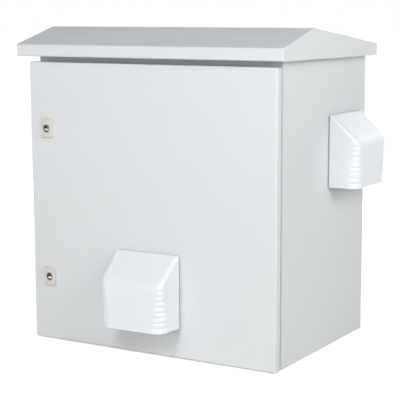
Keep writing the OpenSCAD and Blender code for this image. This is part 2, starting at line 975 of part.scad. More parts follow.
// Finger guard: wire rings on four spokes that end in screw eyes
module fan_guard() {
    guard_y = fan_front + fan_d + seat_gap;
    eye_r = fan_pitch / 2 * sqrt(2);
    ring_gap = fan_duct / 2 / guard_rings;
    color(zinc)
        translate([0, guard_y, vent_rise])
            difference() {
                union() {
                    for (i = [1 : guard_rings])
                        translate([0, 1.5 * guard_wire - guard_sink, 0])
                            rotate([-90, 0, 0])
                                rotate_extrude()
                                    translate([i * ring_gap, 0])
                                        circle(d = guard_wire);
                    for (turn = [45 : 90 : 315])
                        rotate([0, turn, 0])
                            translate([ring_gap, guard_wire / 2, 0])
                                rotate([0, 90, 0])
                                    cylinder(d = guard_wire, h = eye_r - ring_gap);
                    translate([0, 0, -vent_rise])
                        at_fan_corners()
                            bar(guard_eye, guard_wire);
                }
                translate([0, -over, -vent_rise])
                    at_fan_corners()
                        bar(fan_hole, 2 * (guard_wire + over));
            }
}

module fan_screws() {
    head_y = fan_front + fan_d + seat_gap + guard_wire;
    color(steel)
        at_fan_corners() {
            translate([0, spigot_back + seat_gap, 0])
                bar(hood_screw_dia, head_y - spigot_back - seat_gap);
            translate([0, head_y, 0])
                bar(screw_head_dia, screw_head_t);
        }
}

// Hinge bracket on the body's lip, with the middle knuckle
module hinge_bracket(z) {
    plate_x = opening_w / 2;
    color(zinc)
        translate([0, 0, z - knuckle_len / 2])
            difference() {
                union() {
                    translate([plate_x, lip_y, 0])
                        cube([bracket_t, lip_h, knuckle_len]);
                    translate([plate_x, lip_y, 0])
                        cube([hinge_x - plate_x, bracket_t, knuckle_len]);
                    translate([hinge_x, hinge_y, 0])
                        cylinder(d = knuckle_dia, h = knuckle_len);
                }
                translate([hinge_x, hinge_y, -over])
                    cylinder(d = pin_dia + 2 * run_gap, h = knuckle_len + 2 * over);
            }
}

// Hinge leaf on the door's inner face, with a knuckle above and one below the bracket's
module hinge_leaf(z) {
    low = knuckle_len / 2 + seat_gap;
    reach = low + leaf_len;
    color(zinc)
        translate([hinge_x, hinge_y, z])
            difference() {
                union() {
                    translate([leaf_margin - hinge_inset, door_inner_y - hinge_y, -reach])
                        cube([2 * (hinge_inset - leaf_margin) - sheet_t, leaf_t, 2 * reach]);
                    for (end = [-reach, low])
                        translate([0, 0, end]) {
                            cylinder(d = knuckle_dia, h = leaf_len);
                            translate([-web_w / 2, door_inner_y - hinge_y, 0])
                                cube([web_w, hinge_y - door_inner_y, leaf_len]);
                        }
                }
                translate([0, 0, -reach - over])
                    cylinder(d = pin_dia + 2 * run_gap, h = 2 * reach + 2 * over);
            }
}

module hinge_pin(z) {
    reach = knuckle_len / 2 + seat_gap + leaf_len;
    color(steel)
        translate([hinge_x, hinge_y, z]) {
            translate([0, 0, -reach - pin_past])
                cylinder(d = pin_dia, h = 2 * reach + pin_past + seat_gap);
            translate([0, 0, reach + seat_gap])
                cylinder(d = pin_head_dia, h = pin_head_t);
        }
}

// Door: a folded pan with its vent and lock holes
module door_panel() {
    color(paint)
        difference() {
            translate([0, door_front_y, door_mid_z])
                folded_block(door_w, door_h, door_d, bend_r, corner_r);
            translate([0, door_inner_y, door_mid_z])
                upright(door_d)
                    round_rect([door_w - 2 * sheet_t, door_h - 2 * sheet_t], corner_r - sheet_t);
            at_door_vent()
                vent_cuts();
            for (z = [lock_low_z, lock_high_z])
                translate([lock_x, door_front_y - over, z])
                    bar(barrel_dia + hole_gap, sheet_t + 2 * over);
        }
}

// Foam seal on the door's inner face, in front of the body's lip
module door_seal() {
    seal_t = lip_y - door_inner_y - seat_gap;
    mid_w = opening_w - sheet_t;
    mid_h = opening_h - sheet_t;
    color(foam)
        translate([0, door_inner_y, door_mid_z])
            upright(seal_t)
                difference() {
                    round_rect([mid_w + seal_w, mid_h + seal_w], bend_r);
                    square([mid_w - seal_w, mid_h - seal_w], center = true);
                }
}

// Lock housing: a bevelled plate in front of the door with the threaded barrel behind it
module lock_housing(z) {
    barrel_l = barrel_end_y - door_front_y;
    bore_l = lock_plate_t + barrel_l;
    color(beige_plastic)
        translate([lock_x, door_front_y, z])
            difference() {
                union() {
                    hull() {
                        translate([0, -lock_plate_t + plate_bevel, 0])
                            upright(lock_plate_t - plate_bevel)
                                square([lock_plate_w, lock_plate_h], center = true);
                        translate([0, -lock_plate_t, 0])
                            upright(plate_bevel)
                                square([lock_plate_w - 2 * plate_bevel, lock_plate_h - 2 * plate_bevel],
                                    center = true);
                    }
                    translate([0, -over, 0])
                        bar(barrel_dia, barrel_l + over);
                }
                translate([0, -lock_plate_t - over, 0])
                    bar(key_dia + 2 * run_gap, bore_l - neck_l + over);
                translate([0, -lock_plate_t, 0])
                    bar(neck_dia + 2 * run_gap, bore_l + over);
            }
}

module lock_nut(z) {
    color(zinc)
        translate([lock_x, door_inner_y, z])
            difference() {
                rotate([0, 30, 0])
                    hex_bar(lock_nut_w, lock_nut_t);
                translate([0, -over, 0])
                    bar(barrel_dia + 2 * run_gap, lock_nut_t + 2 * over);
            }
}

// Lock spindle: the key insert with its driver bar, the neck and the square tang for the cam
module lock_spindle(z) {
    head_l = barrel_end_y - neck_l - lock_front_y - key_recess - seat_gap;
    tang_l = cam_t + seat_gap;
    color(steel)
        translate([lock_x, lock_front_y + key_recess, z]) {
            difference() {
                union() {
                    bar(key_dia, head_l);
                    bar(neck_dia, head_l + seat_gap + neck_l);
                    translate([-tang_w / 2, head_l, -tang_w / 2])
                        cube([tang_w, seat_gap + neck_l + tang_l, tang_w]);
                }
                translate([0, -over, 0])
                    bar(socket_dia, socket_deep + over);
                translate([0, head_l, 0])
                    bar(cam_screw_dia + 2 * run_gap, neck_l + tang_l + over);
            }
            intersection() {
                bar(socket_dia + over, socket_deep + over);
                translate([-socket_dia / 2, bar_recess, -bar_low - bar_h / 2])
                    cube([socket_dia, socket_deep, bar_h]);
            }
        }
}

// Lock cam, hanging down in the open position
module lock_cam(z) {
    color(zinc)
        translate([lock_x, cam_y, z])
            difference() {
                union() {
                    upright(cam_t)
                        circle(d = cam_w);
                    upright(cam_t)
                        translate([-cam_w / 2, cam_bevel - cam_reach])
                            square([cam_w, cam_reach - cam_bevel]);
                    upright(cam_t)
                        translate([cam_bevel - cam_w / 2, -cam_reach])
                            square([cam_w - 2 * cam_bevel, cam_reach]);
                    for (x = [-1, 1])
                        translate([x * (cam_w / 2 - cam_bevel), 0, cam_bevel - cam_reach])
                            bar(2 * cam_bevel, cam_t);
                }
                translate([0, -over, 0])
                    upright(cam_t + 2 * over)
                        square(tang_w + 2 * run_gap, center = true);
            }
}

module lock_screw(z) {
    head_y = cam_y + cam_t + 2 * run_gap;
    color(steel)
        translate([lock_x, 0, z]) {
            translate([0, head_y - cam_screw_l, 0])
                bar(cam_screw_dia, cam_screw_l);
            translate([0, head_y, 0])
                bar(cam_washer_dia, cam_washer_t);
            translate([0, head_y + cam_washer_t, 0])
                hex_bar(cam_head_w, cam_head_t);
        }
}

body_wrap();
rear_panel();
roof_canopy();
roof_rib(-1);  // roof_rib_left
roof_rib(1);  // roof_rib_right
roof_bolts();
roof_nuts();
gland_plate();
gland_seal();
gland_screws();
mounting_plate();
plate_studs();
plate_spacers();
plate_nuts();
at_side_vent() hood();  // side_hood
at_side_vent() hood_seal();  // side_hood_seal
at_side_vent() hood_screws();  // side_hood_screws
at_side_vent() grille();  // outlet_grille
at_side_vent() filter_mat();  // outlet_mat
at_side_vent() fan_housing();
at_side_vent() fan_rotor();
at_side_vent() fan_guard();
at_side_vent() fan_screws();
hinge_bracket(hinge_high_z);  // hinge_bracket_upper
hinge_bracket(hinge_low_z);  // hinge_bracket_lower
hinge_pin(hinge_high_z);  // hinge_pin_upper
hinge_pin(hinge_low_z);  // hinge_pin_lower
hinge_leaf(hinge_high_z);  // hinge_leaf_upper
hinge_leaf(hinge_low_z);  // hinge_leaf_lower
door_panel();
door_seal();
at_door_vent() hood();  // door_hood
at_door_vent() hood_seal();  // door_hood_seal
at_door_vent() hood_screws();  // door_hood_screws
at_door_vent() grille();  // inlet_grille
at_door_vent() filter_mat();  // inlet_mat
lock_housing(lock_high_z);  // lock_housing_upper
lock_housing(lock_low_z);  // lock_housing_lower
lock_nut(lock_high_z);  // lock_nut_upper
lock_nut(lock_low_z);  // lock_nut_lower
lock_spindle(lock_high_z);  // lock_spindle_upper
lock_spindle(lock_low_z);  // lock_spindle_lower
lock_cam(lock_high_z);  // lock_cam_upper
lock_cam(lock_low_z);  // lock_cam_lower
lock_screw(lock_high_z);  // lock_screw_upper
lock_screw(lock_low_z);  // lock_screw_lower
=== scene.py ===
"""Looks of a roadside utility cabinet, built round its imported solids.

The solids give the folded steel body, the rain roof, the door and the inner parts. This file gives
each of them a procedural finish, models the moulded rain hoods and the quarter-turn locks as finer
pieces, and sets the stage: floor, lamps, world and camera. Lengths are in metres.
"""

import json
import logging
import math
from dataclasses import dataclass, field
from enum import Enum

import bmesh
import bpy
from mathutils import Matrix, Vector


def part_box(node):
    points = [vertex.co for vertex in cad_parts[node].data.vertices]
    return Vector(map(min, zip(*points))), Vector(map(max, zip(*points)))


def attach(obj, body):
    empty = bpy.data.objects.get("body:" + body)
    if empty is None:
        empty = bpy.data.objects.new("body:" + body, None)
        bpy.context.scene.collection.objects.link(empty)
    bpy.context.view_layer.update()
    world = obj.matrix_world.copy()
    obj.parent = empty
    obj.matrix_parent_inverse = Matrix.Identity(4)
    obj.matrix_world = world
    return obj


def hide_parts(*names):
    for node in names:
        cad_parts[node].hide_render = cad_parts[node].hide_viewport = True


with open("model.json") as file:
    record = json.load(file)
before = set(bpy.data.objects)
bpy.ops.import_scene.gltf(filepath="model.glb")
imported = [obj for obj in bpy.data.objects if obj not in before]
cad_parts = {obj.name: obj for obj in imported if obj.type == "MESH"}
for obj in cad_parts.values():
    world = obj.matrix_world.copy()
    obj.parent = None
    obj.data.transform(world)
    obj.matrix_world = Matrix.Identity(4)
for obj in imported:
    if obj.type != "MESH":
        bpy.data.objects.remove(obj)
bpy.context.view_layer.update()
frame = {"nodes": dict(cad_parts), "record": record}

LOG = logging.getLogger("cabinet")
MM = 0.001
WELD = 0.002 * MM
Colour = tuple[float, float, float]
Pair = tuple[float, float]
Socket = bpy.types.NodeSocket
Node = bpy.types.Node
Tree = bpy.types.NodeTree
Piece = bpy.types.Object
WHITE: Colour = (1.0, 1.0, 1.0)
FULL: Pair = (0.0, 1.0)


class Slot(Enum):
    """Material slots of the record."""

    PAINT = "light_grey_paint"
    HOOD = "hood_plastic"
    LOCK = "lock_plastic"
    KEY = "lock_metal"
    ZINC = "zinc_steel"
    FASTENER = "fastener_steel"
    BLACK = "black_plastic"
    FOAM = "foam"
    FLEECE = "filter_fleece"


class Effect(Enum):
    """Surface effects that several finishes share, each a shader node group."""

    ORANGE_PEEL = "orange peel"
    MOULD_GRAIN = "mould grain"
    ROLLED_GRAIN = "rolled grain"
    CELLS = "open cells"
    # Dust and painted shade: darkens faces that look up.
    DUST_AND_TOP_SHADE = "settled dust"


class Control(Enum):
    """Input that an effect has beside its coordinates: name and socket type."""

    SIZE = ("Size", "NodeSocketFloat")
    ALONG = ("Along", "NodeSocketVector")
    NORMAL = ("Normal", "NodeSocketVector")


class Wiring:
    """Adds nodes to one node tree and joins their sockets."""

    def __init__(self, tree: Tree) -> None:
        """Keeps the tree of a material, a world or a group."""
        self.tree = tree

    def add(self, kind: str, inputs: dict | None = None, **settings: object) -> Node:
        """Adds one node.

        Args:
            kind: Blender's name of the node type.
            inputs: value or output socket for each input, by name or index.
            settings: attributes of the node.

        Returns:
            The new node.
        """
        node = self.tree.nodes.new(kind)
        for name, value in settings.items():
            setattr(node, name, value)
        for key, value in (inputs or {}).items():
            if isinstance(value, Socket):
                self.tree.links.new(value, node.inputs[key])
            else:
                node.inputs[key].default_value = value
        return node

    def feed(self, node: Node, **values: Socket) -> None:
        """Links values to the inputs of a node, by name."""
        for name, value in values.items():
            self.tree.links.new(value, node.inputs[name])

    def math(self, operation: str, a: object, b: object = 0.0) -> Socket:
        """Adds a Math node and returns its value."""
        return self.add("ShaderNodeMath", {0: a, 1: b}, operation=operation).outputs[0]

    def weigh(self, a: object, share_a: float, b: object, share_b: float) -> Socket:
        """Returns the sum of two values, each times its share."""
        return self.math("ADD", self.math("MULTIPLY", a, share_a), self.math("MULTIPLY", b, share_b))

    def noise(self, place: object, scale: object, detail: float, rough: float) -> Socket:
        """Adds a noise texture of so many cells in a metre, with finer octaves of a strength."""
        settings = {"Vector": place, "Scale": scale, "Detail": detail, "Roughness": rough}
        return self.add("ShaderNodeTexNoise", settings).outputs["Fac"]

    def cells(self, place: object, scale: object) -> Socket:
        """Adds a cell texture and returns the distance from each cell's middle."""
        return self.add("ShaderNodeTexVoronoi", {"Vector": place, "Scale": scale}).outputs["Distance"]

    def blend(self, factor: object, a: object, b: object) -> Socket:
        """Mixes two colours: a factor of 0 gives a, and 1 gives b."""
        # The Mix node's colour sockets share their names with its others, so they go by index.
        node = self.add("ShaderNodeMix", {0: factor, 6: a, 7: b}, data_type="RGBA")
        return node.outputs[2]

    def span(self, value: object, source: Pair, target: Pair) -> Socket:
        """Maps a value from one range to another, and holds it there."""
        inputs = dict(enumerate((value, *source, *target)))
        return self.add("ShaderNodeMapRange", inputs).outputs[0]


class EffectShelf:
    """Builds each shared effect once and hands it out."""

    def __init__(self) -> None:
        """Starts with no group built."""
        self.made: dict[Effect, Tree] = {}

    def get(self, effect: Effect) -> Tree:
        """Returns the node group of an effect.

        Args:
            effect: which effect.

        Returns:
            Its node group.
        """
        if effect not in self.made:
            builders = {
                Effect.ORANGE_PEEL: self._orange_peel,
                Effect.MOULD_GRAIN: self._mould_grain,
                Effect.ROLLED_GRAIN: self._rolled_grain,
                Effect.CELLS: self._cells,
                Effect.DUST_AND_TOP_SHADE: self._dust_and_top_shade,
            }
            self.made[effect] = builders[effect]()
        return self.made[effect]

    def _open(self, effect: Effect, control: Control, *outputs: str) -> tuple[Wiring, Socket, Socket, Node]:
        """Opens a new group with coordinates, a control and value outputs.

        Args:
            effect: effect that names the group.
            control: input beside the coordinates.
            outputs: names of the outputs.

        Returns:
            The wiring of the group, its coordinates, its control and its output node.
        """
        tree = bpy.data.node_groups.new(effect.value, "ShaderNodeTree")
        name, kind = control.value
        tree.interface.new_socket(name="Vector", in_out="INPUT", socket_type="NodeSocketVector")
        tree.interface.new_socket(name=name, in_out="INPUT", socket_type=kind)
        for output in outputs:
            tree.interface.new_socket(name=output, in_out="OUTPUT", socket_type="NodeSocketFloat")
        wiring = Wiring(tree)
        given = wiring.add("NodeGroupInput").outputs
        return wiring, given["Vector"], given[name], wiring.add("NodeGroupOutput")

    def _orange_peel(self) -> Tree:
        """Builds the rippled skin of baked powder paint.

        Returns:
            The node group.
        """
        wiring, place, size, out = self._open(Effect.ORANGE_PEEL, Control.SIZE, "Height", "Tone", "Speck")
        per_metre = wiring.math("DIVIDE", 1.0, size)
        fine_scale = wiring.math("MULTIPLY", per_metre, 3.7)
        ripple = wiring.noise(place, per_metre, detail=1.0, rough=0.4)
        fine = wiring.noise(place, fine_scale, detail=2.0, rough=0.5)
        height = wiring.weigh(ripple, 0.72, fine, 0.28)
        tone = wiring.noise(place, scale=4.5, detail=3.0, rough=0.5)
        wiring.feed(out, Height=height, Tone=tone, Speck=fine)
        return wiring.tree

    def _mould_grain(self) -> Tree:
        """Builds the fine eroded texture of a moulding tool.

        Returns:
            The node group.
        """
        wiring, place, size, out = self._open(Effect.MOULD_GRAIN, Control.SIZE, "Height", "Tone")
        per_metre = wiring.math("DIVIDE", 1.0, size)
        grit_scale = wiring.math("MULTIPLY", per_metre, 1.9)
        pits = wiring.cells(place, per_metre)
        grit = wiring.noise(place, grit_scale, detail=2.0, rough=0.6)
        height = wiring.weigh(pits, 0.4, grit, 0.6)
        tone = wiring.noise(place, scale=9.0, detail=2.0, rough=0.5)
        wiring.feed(out, Height=height, Tone=tone)
        return wiring.tree

    def _rolled_grain(self) -> Tree:
        """Builds the streaks of rolled and plated steel.

        Returns:
            The node group.
        """
        wiring, place, along, out = self._open(Effect.ROLLED_GRAIN, Control.ALONG, "Streak", "Bloom")
        drawn = wiring.add("ShaderNodeVectorMath", {0: place, 1: along}, operation="MULTIPLY")
        streak = wiring.noise(drawn.outputs[0], scale=1.0, detail=3.0, rough=0.6)
        spangle = wiring.cells(place, scale=130.0)
        cloud = wiring.noise(place, scale=22.0, detail=3.0, rough=0.55)
        wiring.feed(out, Streak=streak, Bloom=wiring.weigh(spangle, 0.5, cloud, 0.6))
        return wiring.tree

    def _cells(self) -> Tree:
        """Builds the pores of foam and the tangle of fleece.

        Returns:
            The node group.
        """
        wiring, place, size, out = self._open(Effect.CELLS, Control.SIZE, "Height", "Tone")
        per_metre = wiring.math("DIVIDE", 1.0, size)
        tangle_scale = wiring.math("MULTIPLY", per_metre, 0.6)
        pores = wiring.cells(place, per_metre)
        tangle = wiring.noise(place, tangle_scale, detail=4.0, rough=0.65)
        wiring.feed(out, Height=wiring.weigh(pores, 0.6, tangle, 0.5), Tone=tangle)
        return wiring.tree

    def _dust_and_top_shade(self) -> Tree:
        """Builds the film of dust and painted shade that darkens faces that look up, in patches.

        Returns:
            The node group.
        """
        wiring, place, normal, out = self._open(Effect.DUST_AND_TOP_SHADE, Control.NORMAL, "Mask")
        up = wiring.add("ShaderNodeSeparateXYZ", {0: normal}).outputs["Z"]
        # The closer a face looks straight up, the more it is darkened: painted shade, broken into dust-like
        # patches.
        facing = wiring.span(up, (0.55, 0.98), FULL)
        patches = wiring.noise(place, scale=14.0, detail=4.0, rough=0.6)
        drift = wiring.span(patches, (0.35, 0.75), (0.25, 1.0))
        wiring.feed(out, Mask=wiring.math("MULTIPLY", facing, drift))
        return wiring.tree


SHELF = EffectShelf()


def shaded(colour: Colour, gain: float = 1.0) -> tuple[float, float, float, float]:
    """Returns a linear colour times a gain, with an alpha of 1, as a socket takes it."""
    return (*(min(1.0, channel * gain) for channel in colour), 1.0)


class MaterialDesk:
    """One material being wired: its coordinates, its shader and the effects on it."""

    def __init__(self, name: str) -> None:
        """Makes an empty material with a Principled shader and object coordinates.

        Args:
            name: name of the material.
        """
        self.material = bpy.data.materials.new(name)
        self.material.use_nodes = True
        self.material.node_tree.nodes.clear()
        self.wiring = Wiring(self.material.node_tree)
        self.shader = self.wiring.add("ShaderNodeBsdfPrincipled")
        self.wiring.add("ShaderNodeOutputMaterial", {"Surface": self.shader.outputs["BSDF"]})
        self.place = self.wiring.add("ShaderNodeTexCoord").outputs["Object"]

    def fixed(self, **values: object) -> None:
        """Sets plain values on the shader, with spaces in names written as underscores."""
        for name, value in values.items():
            self.shader.inputs[name.replace("_", " ")].default_value = value

    def drive(self, name: str, socket: Socket) -> None:
        """Feeds a socket of the shader from a node."""
        self.wiring.tree.links.new(socket, self.shader.inputs[name])

    def effect(self, effect: Effect, **inputs: object) -> Node:
        """Places a shared effect, with the object's coordinates on its Vector."""
        given = {"Vector": self.place, **inputs}
        return self.wiring.add("ShaderNodeGroup", given, node_tree=SHELF.get(effect))

    def shades(self, factor: Socket, colour: Colour, gains: Pair) -> Socket:
        """Returns a colour that runs from one gain to the other as the factor rises."""
        return self.wiring.blend(factor, *(shaded(colour, gain) for gain in gains))

    def dust(self, share: float) -> Socket:
        """Adds the film of dust and painted shade that darkens faces that look up.

        Args:
            share: cover where the film is thickest.

        Returns:
            The cover of each place.
        """
        normal = self.wiring.add("ShaderNodeNewGeometry").outputs["Normal"]
        mask = self.effect(Effect.DUST_AND_TOP_SHADE, Normal=normal).outputs["Mask"]
        return self.wiring.math("MULTIPLY", mask, share)

    def roughness(self, factor: Socket, source: Pair, middle: float, spread: float) -> Socket:
        """Returns a roughness that swings round a middle value as the factor crosses its range."""
        return self.wiring.span(factor, source, (middle - spread, middle + spread))

    def bump(self, height: Socket, strength: float, depth: float) -> None:
        """Puts a bump on the shader from a height map, with a strength from 0 to 1 and a depth."""
        inputs = {"Strength": strength, "Distance": depth, "Height": height}
        self.drive("Normal", self.wiring.add("ShaderNodeBump", inputs).outputs["Normal"])


@dataclass(frozen=True)
class PowderCoat:
    """Baked powder paint on sheet steel."""

    name: str
    colour: Colour
    rough: float
    peel: float
    peel_depth: float
    tones: Pair = (0.985, 1.015)
    speck: float = 0.05
    speck_shade: float = 0.72
    # Cover and darker colour of dust and painted shade on faces that look up.
    dust_shade_cover: float = 0.06
    film_rough: float = 1.5
    dust: Colour = (0.52, 0.50, 0.46)
    rough_spread: float = 0.03
    gloss: float = 0.3
    bump: float = 0.35

    def material(self) -> bpy.types.Material:
        """Builds the finish.

        Returns:
            The material.
        """
        desk = MaterialDesk(self.name)
        wiring = desk.wiring
        peel = desk.effect(Effect.ORANGE_PEEL, Size=self.peel)
        tone = peel.outputs["Tone"]
        speck = wiring.span(peel.outputs["Speck"], (0.25, 0.75), (0.0, self.speck))
        base = desk.shades(tone, self.colour, self.tones)
        base = wiring.blend(speck, base, shaded(self.colour, self.speck_shade))
        # Faces that look up blend towards the darker dust colour: settled dust and painted shade.
        dust_shade_cover = desk.dust(self.dust_shade_cover)
        desk.drive("Base Color", wiring.blend(dust_shade_cover, base, shaded(self.dust)))
        rough = desk.roughness(tone, (0.3, 0.7), self.rough, self.rough_spread)
        dulled = wiring.math("MULTIPLY", dust_shade_cover, self.film_rough)
        desk.drive("Roughness", wiring.math("ADD", rough, dulled))
        desk.fixed(Specular_IOR_Level=self.gloss)
        desk.bump(peel.outputs["Height"], self.bump, self.peel_depth)
        return desk.material


@dataclass(frozen=True)
class MouldedPlastic:
    """Injection-moulded plastic with the texture of its tool."""

    name: str
    colour: Colour
    rough: float
    grain: float
    grain_depth: float
    tones: Pair = (0.98, 1.02)
    # Cover and darker colour of dust and painted shade on faces that look up.
    dust_shade_cover: float = 0.05
    dust: Colour = (0.55, 0.53, 0.49)
    rough_spread: float = 0.04
    bump: float = 0.25

    def material(self) -> bpy.types.Material:
        """Builds the finish.

        Returns:
            The material.
        """
        desk = MaterialDesk(self.name)
        grain = desk.effect(Effect.MOULD_GRAIN, Size=self.grain)
        height = grain.outputs["Height"]
        base = desk.shades(grain.outputs["Tone"], self.colour, self.tones)
        # Faces that look up blend towards the darker dust colour: settled dust and painted shade.
        desk.drive("Base Color", desk.wiring.blend(desk.dust(self.dust_shade_cover), base, shaded(self.dust)))
        desk.drive("Roughness", desk.roughness(height, (0.2, 0.8), self.rough, self.rough_spread))
        desk.bump(height, self.bump, self.grain_depth)
        return desk.material


@dataclass(frozen=True)
class PlatedSteel:
    """Rolled steel with a bright plating; along has the streaks in a metre on each axis."""

    name: str
    colour: Colour
    rough: float
    along: tuple[float, float, float]
    tones: Pair = (0.9, 1.08)
    # Cover and darker colour of dust and painted shade on faces that look up.
    dust_shade_cover: float = 0.12
    dust: Colour = (0.40, 0.38, 0.35)
    rough_spread: float = 0.07
    bump: float = 0.15
    streak_depth: float = 0.06 * MM

    def material(self) -> bpy.types.Material:
        """Builds the finish.

        Returns:
            The material.
        """
        desk = MaterialDesk(self.name)
        wiring = desk.wiring
        grain = desk.effect(Effect.ROLLED_GRAIN, Along=self.along)
        streak = grain.outputs["Streak"]
        bloom = wiring.span(grain.outputs["Bloom"], (0.2, 0.75), FULL)
        base = desk.shades(bloom, self.colour, self.tones)
        # Faces that look up blend towards the darker dust colour: settled dust and painted shade.
        desk.drive("Base Color", wiring.blend(desk.dust(self.dust_shade_cover), base, shaded(self.dust)))
        desk.drive("Roughness", desk.roughness(streak, (0.3, 0.7), self.rough, self.rough_spread))
        desk.fixed(Metallic=1.0)
        desk.bump(streak, self.bump, self.streak_depth)
        return desk.material


@dataclass(frozen=True)
class PorousPad:
    """Foam or fleece: soft, open and without gloss, with painted shade darkening the low places of its
    cells.
    """

    name: str
    colour: Colour
    rough: float
    cell: float
    cell_depth: float
    # How much darker the low places of the cells are: painted shade in the pores.
    pore_shade: float
    rough_fall: float = 0.05
    bump: float = 0.7

    def material(self) -> bpy.types.Material:
        """Builds the finish.

        Returns:
            The material.
        """
        desk = MaterialDesk(self.name)
        wiring = desk.wiring
        cells = desk.effect(Effect.CELLS, Size=self.cell)
        height = cells.outputs["Height"]
        # The colour darkens where the cells' height is low: painted shade in the pores.
        tone = wiring.span(height, (0.2, 0.8), FULL)
        desk.drive("Base Color", desk.shades(tone, self.colour, (1.0 - self.pore_shade, 1.0 + self.pore_shade)))
        rough = (self.rough - self.rough_fall, self.rough)
        desk.drive("Roughness", wiring.span(cells.outputs["Tone"], (0.3, 0.7), rough))
        desk.bump(height, self.bump, self.cell_depth)
        return desk.material


Finish = PowderCoat | MouldedPlastic | PlatedSteel | PorousPad

FINISHES: dict[Slot, Finish] = {
    Slot.PAINT: PowderCoat("light grey powder coat", (0.732, 0.748, 0.768), 0.54, 2.6 * MM, 0.12 * MM),
    Slot.HOOD: MouldedPlastic("white hood plastic", (0.82, 0.835, 0.87), 0.34, 0.9 * MM, 0.03 * MM),
    Slot.LOCK: MouldedPlastic("beige lock plastic", (0.655, 0.635, 0.575), 0.42, 0.5 * MM, 0.03 * MM),
    Slot.KEY: PlatedSteel("nickel-plated casting", (0.66, 0.66, 0.67), 0.22, (900.0, 300.0, 900.0)),
    Slot.ZINC: PlatedSteel("zinc-plated sheet", (0.63, 0.65, 0.68), 0.38, (24.0, 900.0, 700.0)),
    Slot.FASTENER: PlatedSteel("zinc-plated fasteners", (0.60, 0.61, 0.62), 0.30, (600.0, 600.0, 600.0)),
    Slot.BLACK: MouldedPlastic("black moulded plastic", (0.022, 0.022, 0.024), 0.50, 0.7 * MM, 0.05 * MM),
    Slot.FOAM: PorousPad("dark sealing foam", (0.045, 0.045, 0.048), 0.95, 0.9 * MM, 0.35 * MM, 0.35),
    Slot.FLEECE: PorousPad("filter fleece", (0.72, 0.73, 0.70), 1.0, 1.6 * MM, 0.8 * MM, 0.12),
}
DULL_CASTING = PlatedSteel("dull die casting", (0.34, 0.325, 0.31), 0.46, (700.0, 300.0, 700.0))
GREY_FOAM = PorousPad("grey gasket foam", (0.42, 0.41, 0.40), 0.95, 0.9 * MM, 0.35 * MM, 0.25)
GREY_FOAM_NODES = ("door_hood_seal", "side_hood_seal")


class Wardrobe:
    """Makes each finish once and puts it on pieces."""

    def __init__(self) -> None:
        """Starts with no material made."""
        self.made: dict[str, bpy.types.Material] = {}

    def wear(self, piece: Piece, finish: Finish) -> None:
        """Puts a finish on a piece.

        Args:
            piece: object to dress.
            finish: finish that is made once and then shared.
        """
        if finish.name not in self.made:
            self.made[finish.name] = finish.material()
        piece.data.materials.clear()
        piece.data.materials.append(self.made[finish.name])

    def dress(self, piece: Piece, slot: Slot) -> None:
        """Puts the finish of a slot of the record on a piece."""
        self.wear(piece, FINISHES[slot])

    def dress_frame(self) -> None:
        """Puts on every solid the finish that the record names for it."""
        for row in frame["record"]["subparts"]:
            self.dress(frame["nodes"][row["node"]], Slot(row["material_slot"]))
        for node in GREY_FOAM_NODES:
            self.wear(frame["nodes"][node], GREY_FOAM)


WARDROBE = Wardrobe()


def settle(bm: bmesh.types.BMesh, name: str) -> Piece:
    """Turns a finished bmesh into a smooth object at the origin.

    Args:
        bm: mesh in the cabinet's frame; it is freed.
        name: name of the piece.

    Returns:
        The new object.
    """
    for face in bm.faces:
        face.smooth = True
    mesh = bpy.data.meshes.new(name)
    bm.to_mesh(mesh)
    bm.free()
    piece = bpy.data.objects.new(name, mesh)
    bpy.context.scene.collection.objects.link(piece)
    return piece


def soften(piece: Piece, width: float, degrees: float = 50.0, segments: int = 3) -> None:
    """Rounds the sharp edges of a piece.

    Args:
        piece: object to finish.
        width: width of the rounding.
        degrees: edges that turn by more than this are rounded.
        segments: number of faces across the rounding.
    """
    edge = piece.modifiers.new("soft edges", "BEVEL")
    edge.width = width
    edge.segments = segments
    edge.limit_method = "ANGLE"
    edge.angle_limit = math.radians(degrees)
    edge.harden_normals = True


class Loft:
    """A skin that grows from level to level of an outline."""

    def __init__(self, bm: bmesh.types.BMesh, points: list[Vector], closed: bool) -> None:
        """Starts the skin with its first outline.

        Args:
            bm: mesh that takes the skin.
            points: first outline.
            closed: whether the last point joins the first.
        """
        self.bm = bm
        self.closed = closed
        self.ring = [bm.verts.new(point) for point in points]
        for pair in self.pairs():
            bm.edges.new(pair)

    def pairs(self) -> list[tuple[bmesh.types.BMVert, bmesh.types.BMVert]]:
        """Returns the neighbouring vertices of the present level."""
        after = self.ring[1:] + self.ring[:1]
        return list(zip(self.ring, after))[: None if self.closed else -1]

    def grow(self, points: list[Vector]) -> None:
        """Extrudes the present level to the next one.

        Args:
            points: outline of the next level, with as many points.
        """
        edges = [self.bm.edges.get(pair) for pair in self.pairs()]
        grown = bmesh.ops.extrude_edge_only(self.bm, edges=edges)["geom"]
        fresh = {item for item in grown if isinstance(item, bmesh.types.BMVert)}
        self.ring = [
            next(edge.other_vert(vert) for edge in vert.link_edges if edge.other_vert(vert) in fresh)
            for vert in self.ring
        ]
        for vert, point in zip(self.ring, points):
            vert.co = point

    def cap(self) -> None:
        """Closes the present level with a face."""
        bmesh.ops.contextual_create(self.bm, geom=self.ring)


